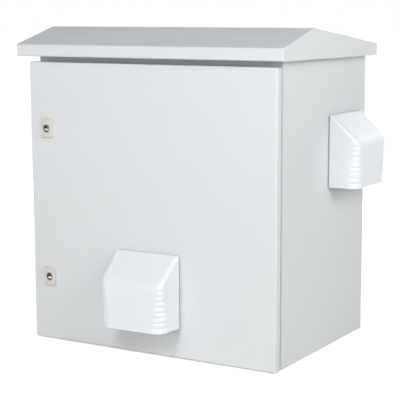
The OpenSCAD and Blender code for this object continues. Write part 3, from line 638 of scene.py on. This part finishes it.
def turned(
    bm: bmesh.types.BMesh, profile: list[Pair], place: Matrix, steps: int, loop: bool = False
) -> None:
    """Spins a profile about the Y axis.

    Args:
        bm: mesh that takes the turned form.
        profile: radius and depth along Y of each point; the ends lie on the axis or meet.
        place: matrix that puts the form in its place.
        steps: number of faces round the axis.
        loop: whether the last point joins the first.
    """
    known = set(bm.verts)
    line = [bm.verts.new((radius, depth, 0.0)) for radius, depth in profile]
    pairs = list(zip(line, line[1:])) + ([(line[-1], line[0])] if loop else [])
    edges = [bm.edges.new(pair) for pair in pairs]
    bmesh.ops.spin(
        bm, geom=line + edges, cent=(0.0, 0.0, 0.0), axis=(0.0, 1.0, 0.0),
        angle=math.tau, steps=steps, use_merge=True, use_duplicate=False,
    )
    made = [vert for vert in bm.verts if vert not in known]
    bmesh.ops.remove_doubles(bm, verts=made, dist=WELD)
    made = [vert for vert in bm.verts if vert not in known]
    faces = list({face for vert in made for face in vert.link_faces})
    bmesh.ops.recalc_face_normals(bm, faces=faces)
    bmesh.ops.transform(bm, matrix=place, verts=made)


@dataclass
class RainHood:
    """Moulded hood over a vent: sloped top, upright face and ribbed front corners.

    A rib's shoulder and overhang are pairs: millimetres above the rib's crease, and the share of the
    rib's step by which the corner is cut back there. Shares of a corner run from 0 at the hood's
    side to 1 at its face.
    """

    name: str
    node: str
    body: str
    turn: float
    wall: float = 2.5 * MM
    standoff: float = 3.5 * MM
    draft: float = 3.2 * MM
    face_height: float = 99 * MM
    break_radius: float = 30 * MM
    break_steps: int = 12
    low_radius: float = 25 * MM
    high_radius: float = 12 * MM
    slope_radius: float = 11 * MM
    least_radius: float = 0.4 * MM
    edge_fade: float = 14 * MM
    fade_steps: int = 5
    slope_steps: int = 4
    top_depth: float = 5 * MM
    top_radius: float = 2.5 * MM
    top_arc: float = 88.0
    top_steps: int = 6
    ribs: int = 8
    rib_first: float = 10 * MM
    rib_pitch: float = 11.25 * MM
    rib_step: float = 1.4 * MM
    shoulder: tuple[Pair, ...] = ((-4.2, 0.0), (-3.3, 0.06), (-2.1, 0.32), (-0.9, 0.74), (0.0, 1.0))
    overhang: tuple[Pair, ...] = (
        (0.4, 0.92), (1.0, 0.60), (1.6, 0.28), (2.4, 0.12), (3.8, 0.04), (6.0, 0.0)
    )
    rim: float = 4 * MM
    rim_steps: int = 4
    rim_flare: float = 1.2 * MM
    flare_power: float = 1.5
    side_flare: float = 0.4
    side_shares: tuple[float, ...] = (0.0, 0.08, 0.5, 0.94)
    corner_ends: tuple[float, ...] = (0.0, 0.03, 0.055, 0.08, 0.105, 0.14)
    corner_steps: int = 16
    notch_start: float = 0.03
    notch_fade: float = 0.075
    face_shares: tuple[float, ...] = (0.96, 0.5)
    edge_round: float = 0.9 * MM
    edge_angle: float = 55.0
    post_radius: float = 5 * MM
    post_rim: float = 0.6 * MM
    post_length: float = 15.5 * MM
    post_heights: Pair = (12 * MM, 128 * MM)
    post_sink: float = 0.5 * MM
    post_faces: int = 32
    width: float = field(init=False)
    height: float = field(init=False)
    depth: float = field(init=False)
    place: Matrix = field(init=False)

    def __post_init__(self) -> None:
        """Takes the hood's size and place from its solid."""
        low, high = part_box(self.node)
        size = high - low
        middle = (low + high) / 2
        sideways = abs(math.sin(self.turn)) > 0.5
        self.width = size.y if sideways else size.x
        self.depth = (size.x if sideways else size.y) - self.standoff
        self.height = size.z
        wall = Vector((low.x, middle.y, low.z)) if sideways else Vector((middle.x, high.y, low.z))
        self.place = Matrix.Translation(wall) @ Matrix.Rotation(self.turn, 4, "Z")

    def lean(self) -> float:
        """Returns the slope's angle from upright."""
        return math.atan2(self.depth - self.top_depth, self.height - self.face_height)

    def break_ends(self) -> Pair:
        """Returns the heights where the rounded break starts and ends."""
        tangent = self.break_radius * math.tan(self.lean() / 2)
        return self.face_height - tangent, self.face_height + tangent * math.cos(self.lean())

    def depth_at(self, z: float) -> float:
        """Returns how far the hood stands out at a height.

        Args:
            z: height above the rim.

        Returns:
            The depth from the hood's rear plane.
        """
        low, high = self.break_ends()
        if z <= low:
            return self.depth
        if z >= high:
            return self.top_depth + (self.height - z) * math.tan(self.lean())
        return self.depth - self.break_radius + math.sqrt(self.break_radius**2 - (z - low) ** 2)

    def corner_at(self, z: float) -> float:
        """Returns the radius of the front corners at a height.

        Args:
            z: height above the rim.

        Returns:
            The radius, before the hood's depth limits it.
        """
        if z < self.face_height:
            share = z / self.face_height
            return self.low_radius + (self.high_radius - self.low_radius) * share
        share = min(1.0, (z - self.face_height) / self.edge_fade)
        return self.high_radius + (self.slope_radius - self.high_radius) * share

    def half_at(self, z: float) -> float:
        """Returns half the width at a height, less where the upper corners are round."""
        rise = max(0.0, z - self.height + self.top_radius)
        return self.width / 2 - self.top_radius + math.sqrt(self.top_radius**2 - rise**2)

    def stretch(self, start: float, end: float, steps: int) -> list[Pair]:
        """Lists plain levels from the first step above one height up to another."""
        return [(start + (end - start) * i / steps, 0.0) for i in range(1, steps + 1)]

    def levels(self) -> list[Pair]:
        """Lists the levels of the shell from the rim up.

        Returns:
            Height and depth of the corner's notch for each level.
        """
        rows = [(0.0, 0.0), *self.stretch(0.0, self.rim, self.rim_steps)]
        for i in range(self.ribs):
            crease = self.rib_first + i * self.rib_pitch
            for rise, share in (*self.shoulder, *self.overhang):
                rows.append((crease + rise * MM, share * self.rib_step))
        low, high = self.break_ends()
        start = max(low, rows[-1][0])
        fade = self.face_height + self.edge_fade
        rest = self.height - self.top_radius
        rows += self.stretch(start, high, self.break_steps)
        rows += self.stretch(high, fade, self.fade_steps)
        rows += self.stretch(fade, rest, self.slope_steps)
        for i in range(1, self.top_steps + 1):
            arc = math.radians(self.top_arc * i / self.top_steps)
            rows.append((rest + self.top_radius * math.sin(arc), 0.0))
        return rows

    def corner_shares(self) -> list[float]:
        """Lists the places round a front corner, closer together where its notches fade out.

        Returns:
            The shares of the corner's quarter turn.
        """
        last = self.corner_ends[-1]
        middle = [last + (1 - 2 * last) * i / self.corner_steps for i in range(1, self.corner_steps)]
        return [*self.corner_ends, *middle, *(1 - share for share in reversed(self.corner_ends))]

    def outline(self, z: float, notch: float) -> list[Vector]:
        """Returns one level's open outline, from the left rear edge to the right one.

        Args:
            z: height of the level.
            notch: how far the corners are cut back.

        Returns:
            The points, before the hood is put in its place.
        """
        flare = self.rim_flare * max(0.0, 1 - z / self.rim) ** self.flare_power
        half = self.half_at(z) + flare * self.side_flare
        depth = self.depth_at(z) + flare
        radius = max(self.least_radius, min(self.corner_at(z), depth - self.least_radius))
        flat = depth - radius
        lean_in = self.draft * flat / self.depth
        inner = half - lean_in - radius
        side = [(half - lean_in * share, -flat * share) for share in self.side_shares]
        for share in self.corner_shares():
            edge = min(share, 1 - share)
            cut = notch * min(1.0, max(0.0, (edge - self.notch_start) / self.notch_fade))
            turn = 0.5 * math.pi * share
            reach = radius - cut
            side.append((inner + reach * math.cos(turn), -flat - reach * math.sin(turn)))
        side += [(inner * share, -depth) for share in self.face_shares]
        left = [Vector((-x, y, z)) for x, y in side]
        right = [Vector((x, y, z)) for x, y in reversed(side)]
        return [*left, Vector((0.0, -depth, z)), *right]

    def build_shell(self) -> Piece:
        """Models the hood's shell, open below and behind.

        Returns:
            The shell as an object on its body.
        """
        bm = bmesh.new()
        rows = self.levels()
        skin = Loft(bm, self.outline(*rows[0]), closed=False)
        for row in rows[1:]:
            skin.grow(self.outline(*row))
        skin.cap()
        bmesh.ops.recalc_face_normals(bm, faces=bm.faces)
        front = min(bm.faces, key=lambda face: face.calc_center_median().y)
        if front.normal.y > 0:
            bmesh.ops.reverse_faces(bm, faces=bm.faces)
        bmesh.ops.translate(bm, verts=bm.verts, vec=(0.0, -self.standoff, 0.0))
        bmesh.ops.transform(bm, verts=bm.verts, matrix=self.place)
        piece = settle(bm, self.name)
        shell = piece.modifiers.new("wall", "SOLIDIFY")
        shell.thickness = self.wall
        shell.offset = -1.0
        shell.use_even_offset = True
        soften(piece, self.edge_round, self.edge_angle)
        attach(piece, self.body)
        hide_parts(self.node)
        return piece

    def build_posts(self) -> Piece:
        """Models the screw posts inside the hood.

        Returns:
            The posts as one object on the hood's body.
        """
        bm = bmesh.new()
        reach = self.width / 2 - self.wall - self.post_radius + self.post_sink
        tip = self.post_radius - self.post_rim
        profile = [
            (0.0, 0.0),
            (tip, 0.0),
            (self.post_radius, -self.post_rim),
            (self.post_radius, self.post_rim - self.post_length),
            (tip, -self.post_length),
            (0.0, -self.post_length),
        ]
        for x in (-reach, reach):
            for z in self.post_heights:
                turned(bm, profile, self.place @ Matrix.Translation((x, 0.0, z)), self.post_faces)
        posts = settle(bm, self.name + "_posts")
        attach(posts, self.body)
        return posts

    def dress(self, *pieces: Piece) -> None:
        """Puts the white plastic on the hood's pieces."""
        for piece in pieces:
            WARDROBE.dress(piece, Slot.HOOD)


@dataclass
class QuarterTurn:
    """Quarter-turn lock: bevelled plate with its threaded barrel, and the key insert in its bore."""

    level: str
    plate: float = 6 * MM
    bevel: float = 1.5 * MM
    crisp: float = 0.25 * MM
    corner: float = 3 * MM
    corner_shrink: float = 0.3
    least_corner: float = 0.5 * MM
    corner_steps: int = 6
    side_steps: int = 14
    rear_inset: float = 0.8 * MM
    rear_step: float = 0.1 * MM
    edge_round: float = 0.15 * MM
    edge_angle: float = 35.0
    lead_in: float = 0.5 * MM
    collar: float = 2.2 * MM
    barrel: float = 10 * MM
    barrel_sink: float = 0.5 * MM
    barrel_tip: float = 0.8 * MM
    barrel_faces: int = 48
    thread: float = 0.6 * MM
    pitch: float = 1.5 * MM
    thread_start: float = 1 * MM
    run_out: float = 2 * MM
    end_wall: float = 6 * MM
    recess: float = 1.2 * MM
    key: float = 8.5 * MM
    key_gap: float = 0.25 * MM
    key_round: float = 0.25 * MM
    key_faces: int = 64
    socket: float = 7.6 * MM
    socket_depth: float = 9 * MM
    neck: float = 5 * MM
    neck_gap: float = 0.2 * MM
    seat_gap: float = 0.3 * MM
    tang: float = 7 * MM
    tang_sink: float = 1 * MM
    bar_size: Vector = field(default_factory=lambda: Vector((10.6 * MM, 8 * MM, 4.2 * MM)))
    bar_low: float = 2.6 * MM
    bar_recess: float = 1 * MM
    bar_steps: int = 8
    bar_sag: float = 0.9
    bar_sag_middle: float = 0.08
    bar_top_share: float = 0.55
    bar_round: float = 0.45 * MM
    bar_angle: float = 40.0
    low: Vector = field(init=False)
    high: Vector = field(init=False)
    axis: Matrix = field(init=False)
    length: float = field(init=False)
    key_length: float = field(init=False)

    def __post_init__(self) -> None:
        """Takes the lock's size and place from its solids."""
        self.low, self.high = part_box("lock_housing_" + self.level)
        key_low, key_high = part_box("lock_spindle_" + self.level)
        middle = (self.low + self.high) / 2
        self.axis = Matrix.Translation((middle.x, self.low.y, middle.z))
        self.length = self.high.y - self.low.y
        self.key_length = key_high.y - key_low.y

    def plate_outline(self, inset: float, y: float) -> list[Vector]:
        """Returns the plate's outline at a depth.

        Args:
            inset: how far every side is moved in.
            y: depth behind the plate's front.

        Returns:
            The points, anticlockwise seen from behind.
        """
        half_w = (self.high.x - self.low.x) / 2 - inset
        half_h = (self.high.z - self.low.z) / 2 - inset
        radius = max(self.least_corner, self.corner - inset * self.corner_shrink)
        turns = []
        for corner, (side_x, side_z) in enumerate(((1, 1), (-1, 1), (-1, -1), (1, -1))):
            middle = Vector((side_x * (half_w - radius), y, side_z * (half_h - radius)))
            quarters = [corner + step / self.corner_steps for step in range(self.corner_steps + 1)]
            angles = [math.radians(90 * quarter) for quarter in quarters]
            turns.append([middle + radius * Vector((math.cos(a), 0.0, math.sin(a))) for a in angles])
        points = []
        for turn, after in zip(turns, turns[1:] + turns[:1]):
            points += turn
            points += [turn[-1].lerp(after[0], i / self.side_steps) for i in range(1, self.side_steps)]
        return points

    def ring(self, radius: float, y: float, like: list[Vector]) -> list[Vector]:
        """Returns a circle at a depth, with its points in the directions of another outline's."""
        return [Vector((p.x, 0.0, p.z)).normalized() * radius + Vector((0.0, y, 0.0)) for p in like]

    def barrel_profile(self, bore: float) -> list[Pair]:
        """Returns the section of the threaded barrel.

        Args:
            bore: radius of the bore that the key insert turns in.

        Returns:
            Radius and depth behind the plate's front of each point.
        """
        start = self.plate - self.barrel_sink
        inner_end = self.length - self.end_wall
        hole = self.neck + self.neck_gap
        profile = [(bore, start), (self.barrel, start)]
        for i in range(int((self.length - self.plate - self.run_out) / self.pitch)):
            y = self.plate + self.thread_start + i * self.pitch
            profile += [(self.barrel, y), (self.barrel - self.thread, y + self.pitch / 2)]
        profile += [
            (self.barrel, self.length - self.barrel_tip),
            (self.barrel - self.barrel_tip, self.length),
            (hole, self.length),
            (hole, inner_end),
            (bore, inner_end),
        ]
        return profile

    def build_plate(self) -> Piece:
        """Models the plate and its barrel.

        Returns:
            The housing as an object on the door.
        """
        bm = bmesh.new()
        crisp = self.crisp
        bore = self.key + self.key_gap
        rear = self.plate
        face = self.plate_outline(self.bevel + crisp, 0.0)
        skin = Loft(bm, self.ring(bore, rear, face), closed=True)
        for outline in (
            self.plate_outline(self.rear_inset, rear),
            self.plate_outline(0.0, rear - self.rear_step),
            self.plate_outline(0.0, self.bevel + crisp),
            self.plate_outline(crisp, self.bevel - crisp),
            self.plate_outline(self.bevel - crisp, crisp),
            face,
            self.ring(bore + self.collar, 0.0, face),
            self.ring(bore + self.lead_in, 0.0, face),
            self.ring(bore, self.lead_in, face),
            self.ring(bore, rear, face),
        ):
            skin.grow(outline)
        bmesh.ops.remove_doubles(bm, verts=bm.verts, dist=WELD)
        bmesh.ops.recalc_face_normals(bm, faces=bm.faces)
        bmesh.ops.transform(bm, matrix=self.axis, verts=bm.verts)
        turned(bm, self.barrel_profile(bore), self.axis, self.barrel_faces, loop=True)
        piece = settle(bm, f"lock_plate_{self.level}")
        soften(piece, self.edge_round, self.edge_angle)
        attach(piece, "door")
        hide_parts("lock_housing_" + self.level)
        return piece

    def build_insert(self) -> Piece:
        """Models the key insert: sleeve, neck and tang.

        Returns:
            The insert as an object on the lock's own body.
        """
        bm = bmesh.new()
        front = self.recess
        floor = front + self.socket_depth
        rear = self.length - self.end_wall - self.seat_gap
        end = front + self.key_length
        profile = [
            (0.0, floor),
            (self.socket, floor),
            (self.socket, front),
            (self.key, front),
            (self.key, rear),
            (self.neck, rear),
            (self.neck, self.length),
            (0.0, self.length),
        ]
        turned(bm, profile, self.axis, self.key_faces)
        spot = Matrix.Translation((0.0, (self.length + end) / 2 - self.tang_sink / 2, 0.0))
        size = Matrix.Diagonal((self.tang, end - self.length + self.tang_sink, self.tang, 1.0))
        bmesh.ops.create_cube(bm, size=1.0, matrix=self.axis @ spot @ size)
        piece = settle(bm, f"lock_insert_{self.level}")
        soften(piece, self.key_round)
        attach(piece, f"{self.level}_lock")
        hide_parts("lock_spindle_" + self.level)
        return piece

    def build_bar(self) -> Piece:
        """Models the driver bar across the key insert.

        Returns:
            The bar as an object on the lock's own body.
        """
        bm = bmesh.new()
        upright = Matrix.Rotation(math.pi / 2, 4, "X")
        bmesh.ops.create_grid(bm, x_segments=self.bar_steps, y_segments=1, size=0.5, matrix=upright)
        bmesh.ops.solidify(bm, geom=bm.faces, thickness=1.0)
        middle = sum((vert.co for vert in bm.verts), Vector()) / len(bm.verts)
        bmesh.ops.translate(bm, verts=bm.verts, vec=-middle)
        for vert in bm.verts:
            share = 1.0 if vert.co.z < 0 else self.bar_top_share
            vert.co.z += self.bar_sag * (vert.co.x**2 - self.bar_sag_middle) * share
        bmesh.ops.recalc_face_normals(bm, faces=bm.faces)
        y = self.recess + self.bar_recess + self.bar_size.y / 2
        spot = Matrix.Translation((0.0, y, -self.bar_low)) @ Matrix.Diagonal((*self.bar_size, 1.0))
        bmesh.ops.transform(bm, matrix=self.axis @ spot, verts=bm.verts)
        piece = settle(bm, f"lock_bar_{self.level}")
        soften(piece, self.bar_round, self.bar_angle)
        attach(piece, f"{self.level}_lock")
        return piece

    def dress(self, plate: Piece, insert: Piece, bar: Piece) -> None:
        """Dresses the lock's pieces.

        Args:
            plate: gets the beige plastic.
            insert: gets the dull casting.
            bar: gets the nickel plating.
        """
        WARDROBE.dress(plate, Slot.LOCK)
        WARDROBE.wear(insert, DULL_CASTING)
        WARDROBE.dress(bar, Slot.KEY)


@dataclass(frozen=True)
class SoftBox:
    """A square studio lamp; its azimuth runs from the front to the right, in degrees."""

    name: str
    azimuth: float
    elevation: float
    distance: float
    size: float
    power: float
    colour: Colour
    aim: tuple[float, float, float]

    def build(self) -> None:
        """Sets up the lamp."""
        a, e = math.radians(self.azimuth), math.radians(self.elevation)
        back = Vector((math.sin(a) * math.cos(e), -math.cos(a) * math.cos(e), math.sin(e)))
        lamp = bpy.data.lights.new(self.name, "AREA")
        lamp.shape = "SQUARE"
        lamp.size = self.size
        lamp.energy = self.power
        lamp.color = self.colour
        holder = bpy.data.objects.new(self.name, lamp)
        bpy.context.scene.collection.objects.link(holder)
        holder.location = Vector(self.aim) + back * self.distance
        holder.rotation_euler = back.to_track_quat("Z", "Y").to_euler()


@dataclass
class Studio:
    """Floor, world, lamps and camera."""

    eye: Vector = field(default_factory=lambda: Vector((1.3907, -2.3219, 0.7079)))
    target: Vector = field(default_factory=lambda: Vector((0.0708, -0.0280, 0.2734)))
    lens: float = 110.68
    sensor: float = 36.0
    shift: Pair = (-0.0640, 0.0381)
    sky: Colour = (0.97, 0.985, 1.0)
    sky_rise: Pair = (0.1, 0.5)
    sky_light: Pair = (0.75, 0.07)
    bright_side: float = 5.0
    side_turn: Pair = (-0.5, 0.5)
    side_light: Pair = (0.15, 1.0)
    floor_size: float = 60.0
    floor_drop: float = 0.2 * MM
    floor_plain: Colour = (0.90, 0.88, 0.84)
    floor_shown: Colour = (0.62, 0.62, 0.62)
    glow_reach: Pair = (0.4, 2.4)
    floor_glow: Pair = (0.74, 1.0)
    # Reach, levels and rays of the painted contact shadow on the floor's glow.
    contact_shade_reach: float = 12 * MM
    painted_contact_shade: Pair = (0.5, 1.0)
    contact_shade_rays: int = 8
    boxes: tuple[SoftBox, ...] = (
        SoftBox("front key", 4.0, 36.0, 2.4, 1.0, 23.5, (0.965, 0.985, 1.0), (0.12, -0.228, 0.40)),
        SoftBox("low front fill", -8.0, 4.0, 2.0, 0.36, 2.4, (1.0, 0.985, 0.965), (-0.17, -0.228, 0.06)),
        SoftBox("level front fill", -6.0, 10.0, 2.4, 0.7, 6.0, (1.0, 0.99, 0.975), (-0.10, -0.228, 0.25)),
        SoftBox("right key", 64.0, 20.0, 1.7, 0.9, 16.0, (0.985, 1.0, 0.99), (0.3, 0.0, 0.50)),
        SoftBox("low right fill", 104.0, 8.0, 1.6, 0.8, 1.6, (0.985, 1.0, 0.99), (0.3, 0.0, 0.54)),
        SoftBox("rear right fill", 166.0, 14.0, 2.6, 1.2, 12.5, (0.98, 0.99, 1.0), (0.0, 0.1, 0.30)),
        SoftBox("rear left fill", 216.0, 14.0, 2.6, 1.4, 30.0, (0.98, 0.99, 1.0), (0.0, 0.1, 0.30)),
        SoftBox("left fill", -100.0, 12.0, 2.4, 1.2, 10.0, (0.98, 0.99, 1.0), (-0.3, 0.0, 0.30)),
    )

    def two_ways(self, wiring: Wiring, lighting: Node, shown: Node) -> Socket:
        """Mixes a shader that lights the cabinet with one that shows as the backdrop.

        Args:
            wiring: node tree of both shaders.
            lighting: shader for all other rays.
            shown: shader for camera, glossy and transmission rays.

        Returns:
            The mixed shader.
        """
        path = wiring.add("ShaderNodeLightPath").outputs
        seen = wiring.math("MAXIMUM", path["Is Camera Ray"], path["Is Glossy Ray"])
        seen = wiring.math("MAXIMUM", seen, path["Is Transmission Ray"])
        shaders = {0: seen, 1: lighting.outputs[0], 2: shown.outputs[0]}
        return wiring.add("ShaderNodeMixShader", shaders).outputs[0]

    def build_world(self) -> None:
        """Makes a world that lights softly, most from the front horizon, and shows white."""
        world = bpy.data.worlds.new("studio")
        bpy.context.scene.world = world
        world.use_nodes = True
        world.node_tree.nodes.clear()
        wiring = Wiring(world.node_tree)
        way = wiring.add("ShaderNodeTexCoord").outputs["Generated"]
        rise = wiring.add("ShaderNodeSeparateXYZ", {0: way}).outputs["Z"]
        turn = math.radians(self.bright_side)
        bright = (math.sin(turn), -math.cos(turn), 0.0)
        facing = wiring.add("ShaderNodeVectorMath", {0: way, 1: bright}, operation="DOT_PRODUCT")
        tall = wiring.span(rise, self.sky_rise, self.sky_light)
        wide = wiring.span(facing.outputs["Value"], self.side_turn, self.side_light)
        level = wiring.math("MULTIPLY", tall, wide)
        light = wiring.add("ShaderNodeBackground", {"Color": shaded(self.sky), "Strength": level})
        shown = wiring.add("ShaderNodeBackground", {"Color": shaded(WHITE), "Strength": 1.0})
        wiring.add("ShaderNodeOutputWorld", {"Surface": self.two_ways(wiring, light, shown)})

    def build_floor(self) -> None:
        """Lays a pale floor that shows white and keeps the cabinet's shadow, with a painted contact shadow
        where the cabinet stands on it.
        """
        bm = bmesh.new()
        bmesh.ops.create_grid(bm, x_segments=1, y_segments=1, size=self.floor_size / 2)
        bmesh.ops.translate(bm, verts=bm.verts, vec=(0.0, 0.0, -self.floor_drop))
        floor = settle(bm, "studio_floor")
        material = bpy.data.materials.new("pale floor")
        material.use_nodes = True
        material.node_tree.nodes.clear()
        wiring = Wiring(material.node_tree)
        plain = wiring.add("ShaderNodeBsdfDiffuse", {"Color": shaded(self.floor_plain)})
        lifted = wiring.add("ShaderNodeBsdfDiffuse", {"Color": shaded(self.floor_shown)})
        spot = wiring.add("ShaderNodeTexCoord").outputs["Object"]
        far = wiring.add("ShaderNodeVectorMath", {0: spot}, operation="LENGTH").outputs["Value"]
        # Ambient occlusion darkens the floor's glow next to the cabinet: a painted contact shadow.
        near = wiring.add(
            "ShaderNodeAmbientOcclusion", {"Distance": self.contact_shade_reach}, samples=self.contact_shade_rays
        )
        shade = wiring.span(near.outputs["AO"], FULL, self.painted_contact_shade)
        level = wiring.math("MULTIPLY", wiring.span(far, self.glow_reach, self.floor_glow), shade)
        glow = wiring.add("ShaderNodeEmission", {"Color": shaded(WHITE), "Strength": level})
        shown = wiring.add("ShaderNodeAddShader", {0: lifted.outputs[0], 1: glow.outputs[0]})
        wiring.add("ShaderNodeOutputMaterial", {"Surface": self.two_ways(wiring, plain, shown)})
        floor.data.materials.append(material)

    def build_camera(self) -> None:
        """Sets the camera at the photograph's viewing angle."""
        data = bpy.data.cameras.new("camera")
        data.lens = self.lens
        data.sensor_width = self.sensor
        data.shift_x, data.shift_y = self.shift
        camera = bpy.data.objects.new("camera", data)
        bpy.context.scene.collection.objects.link(camera)
        camera.location = self.eye
        camera.rotation_euler = (self.eye - self.target).to_track_quat("Z", "Y").to_euler()
        bpy.context.scene.camera = camera

    def build(self) -> None:
        """Sets the whole stage."""
        self.build_world()
        self.build_floor()
        for box in self.boxes:
            box.build()
        self.build_camera()
        bpy.context.scene.view_settings.view_transform = "Standard"


def report(*pieces: Piece) -> None:
    """Logs each finished piece with the number of its faces."""
    for piece in pieces:
        LOG.info("built %s with %d faces", piece.name, len(piece.data.polygons))


def main() -> None:
    """Builds and dresses the cabinet, then sets the stage."""
    logging.basicConfig(level=logging.INFO, format="%(name)s: %(message)s")
    WARDROBE.dress_frame()
    LOG.info("dressed %d solids", len(frame["nodes"]))
    for hood in (
        RainHood("door_hood_shell", "door_hood", "door", 0.0),
        RainHood("side_hood_shell", "side_hood", "cabinet", math.pi / 2),
    ):
        hood_pieces = [hood.build_shell(), hood.build_posts()]
        hood.dress(*hood_pieces)
        report(*hood_pieces)
    for lock in (QuarterTurn("upper"), QuarterTurn("lower")):
        lock_pieces = [lock.build_plate(), lock.build_insert(), lock.build_bar()]
        lock.dress(*lock_pieces)
        report(*lock_pieces)
    studio = Studio()
    studio.build()
    LOG.info("set the stage with %d lamps", len(studio.boxes))


if __name__ == "__main__":
    main()
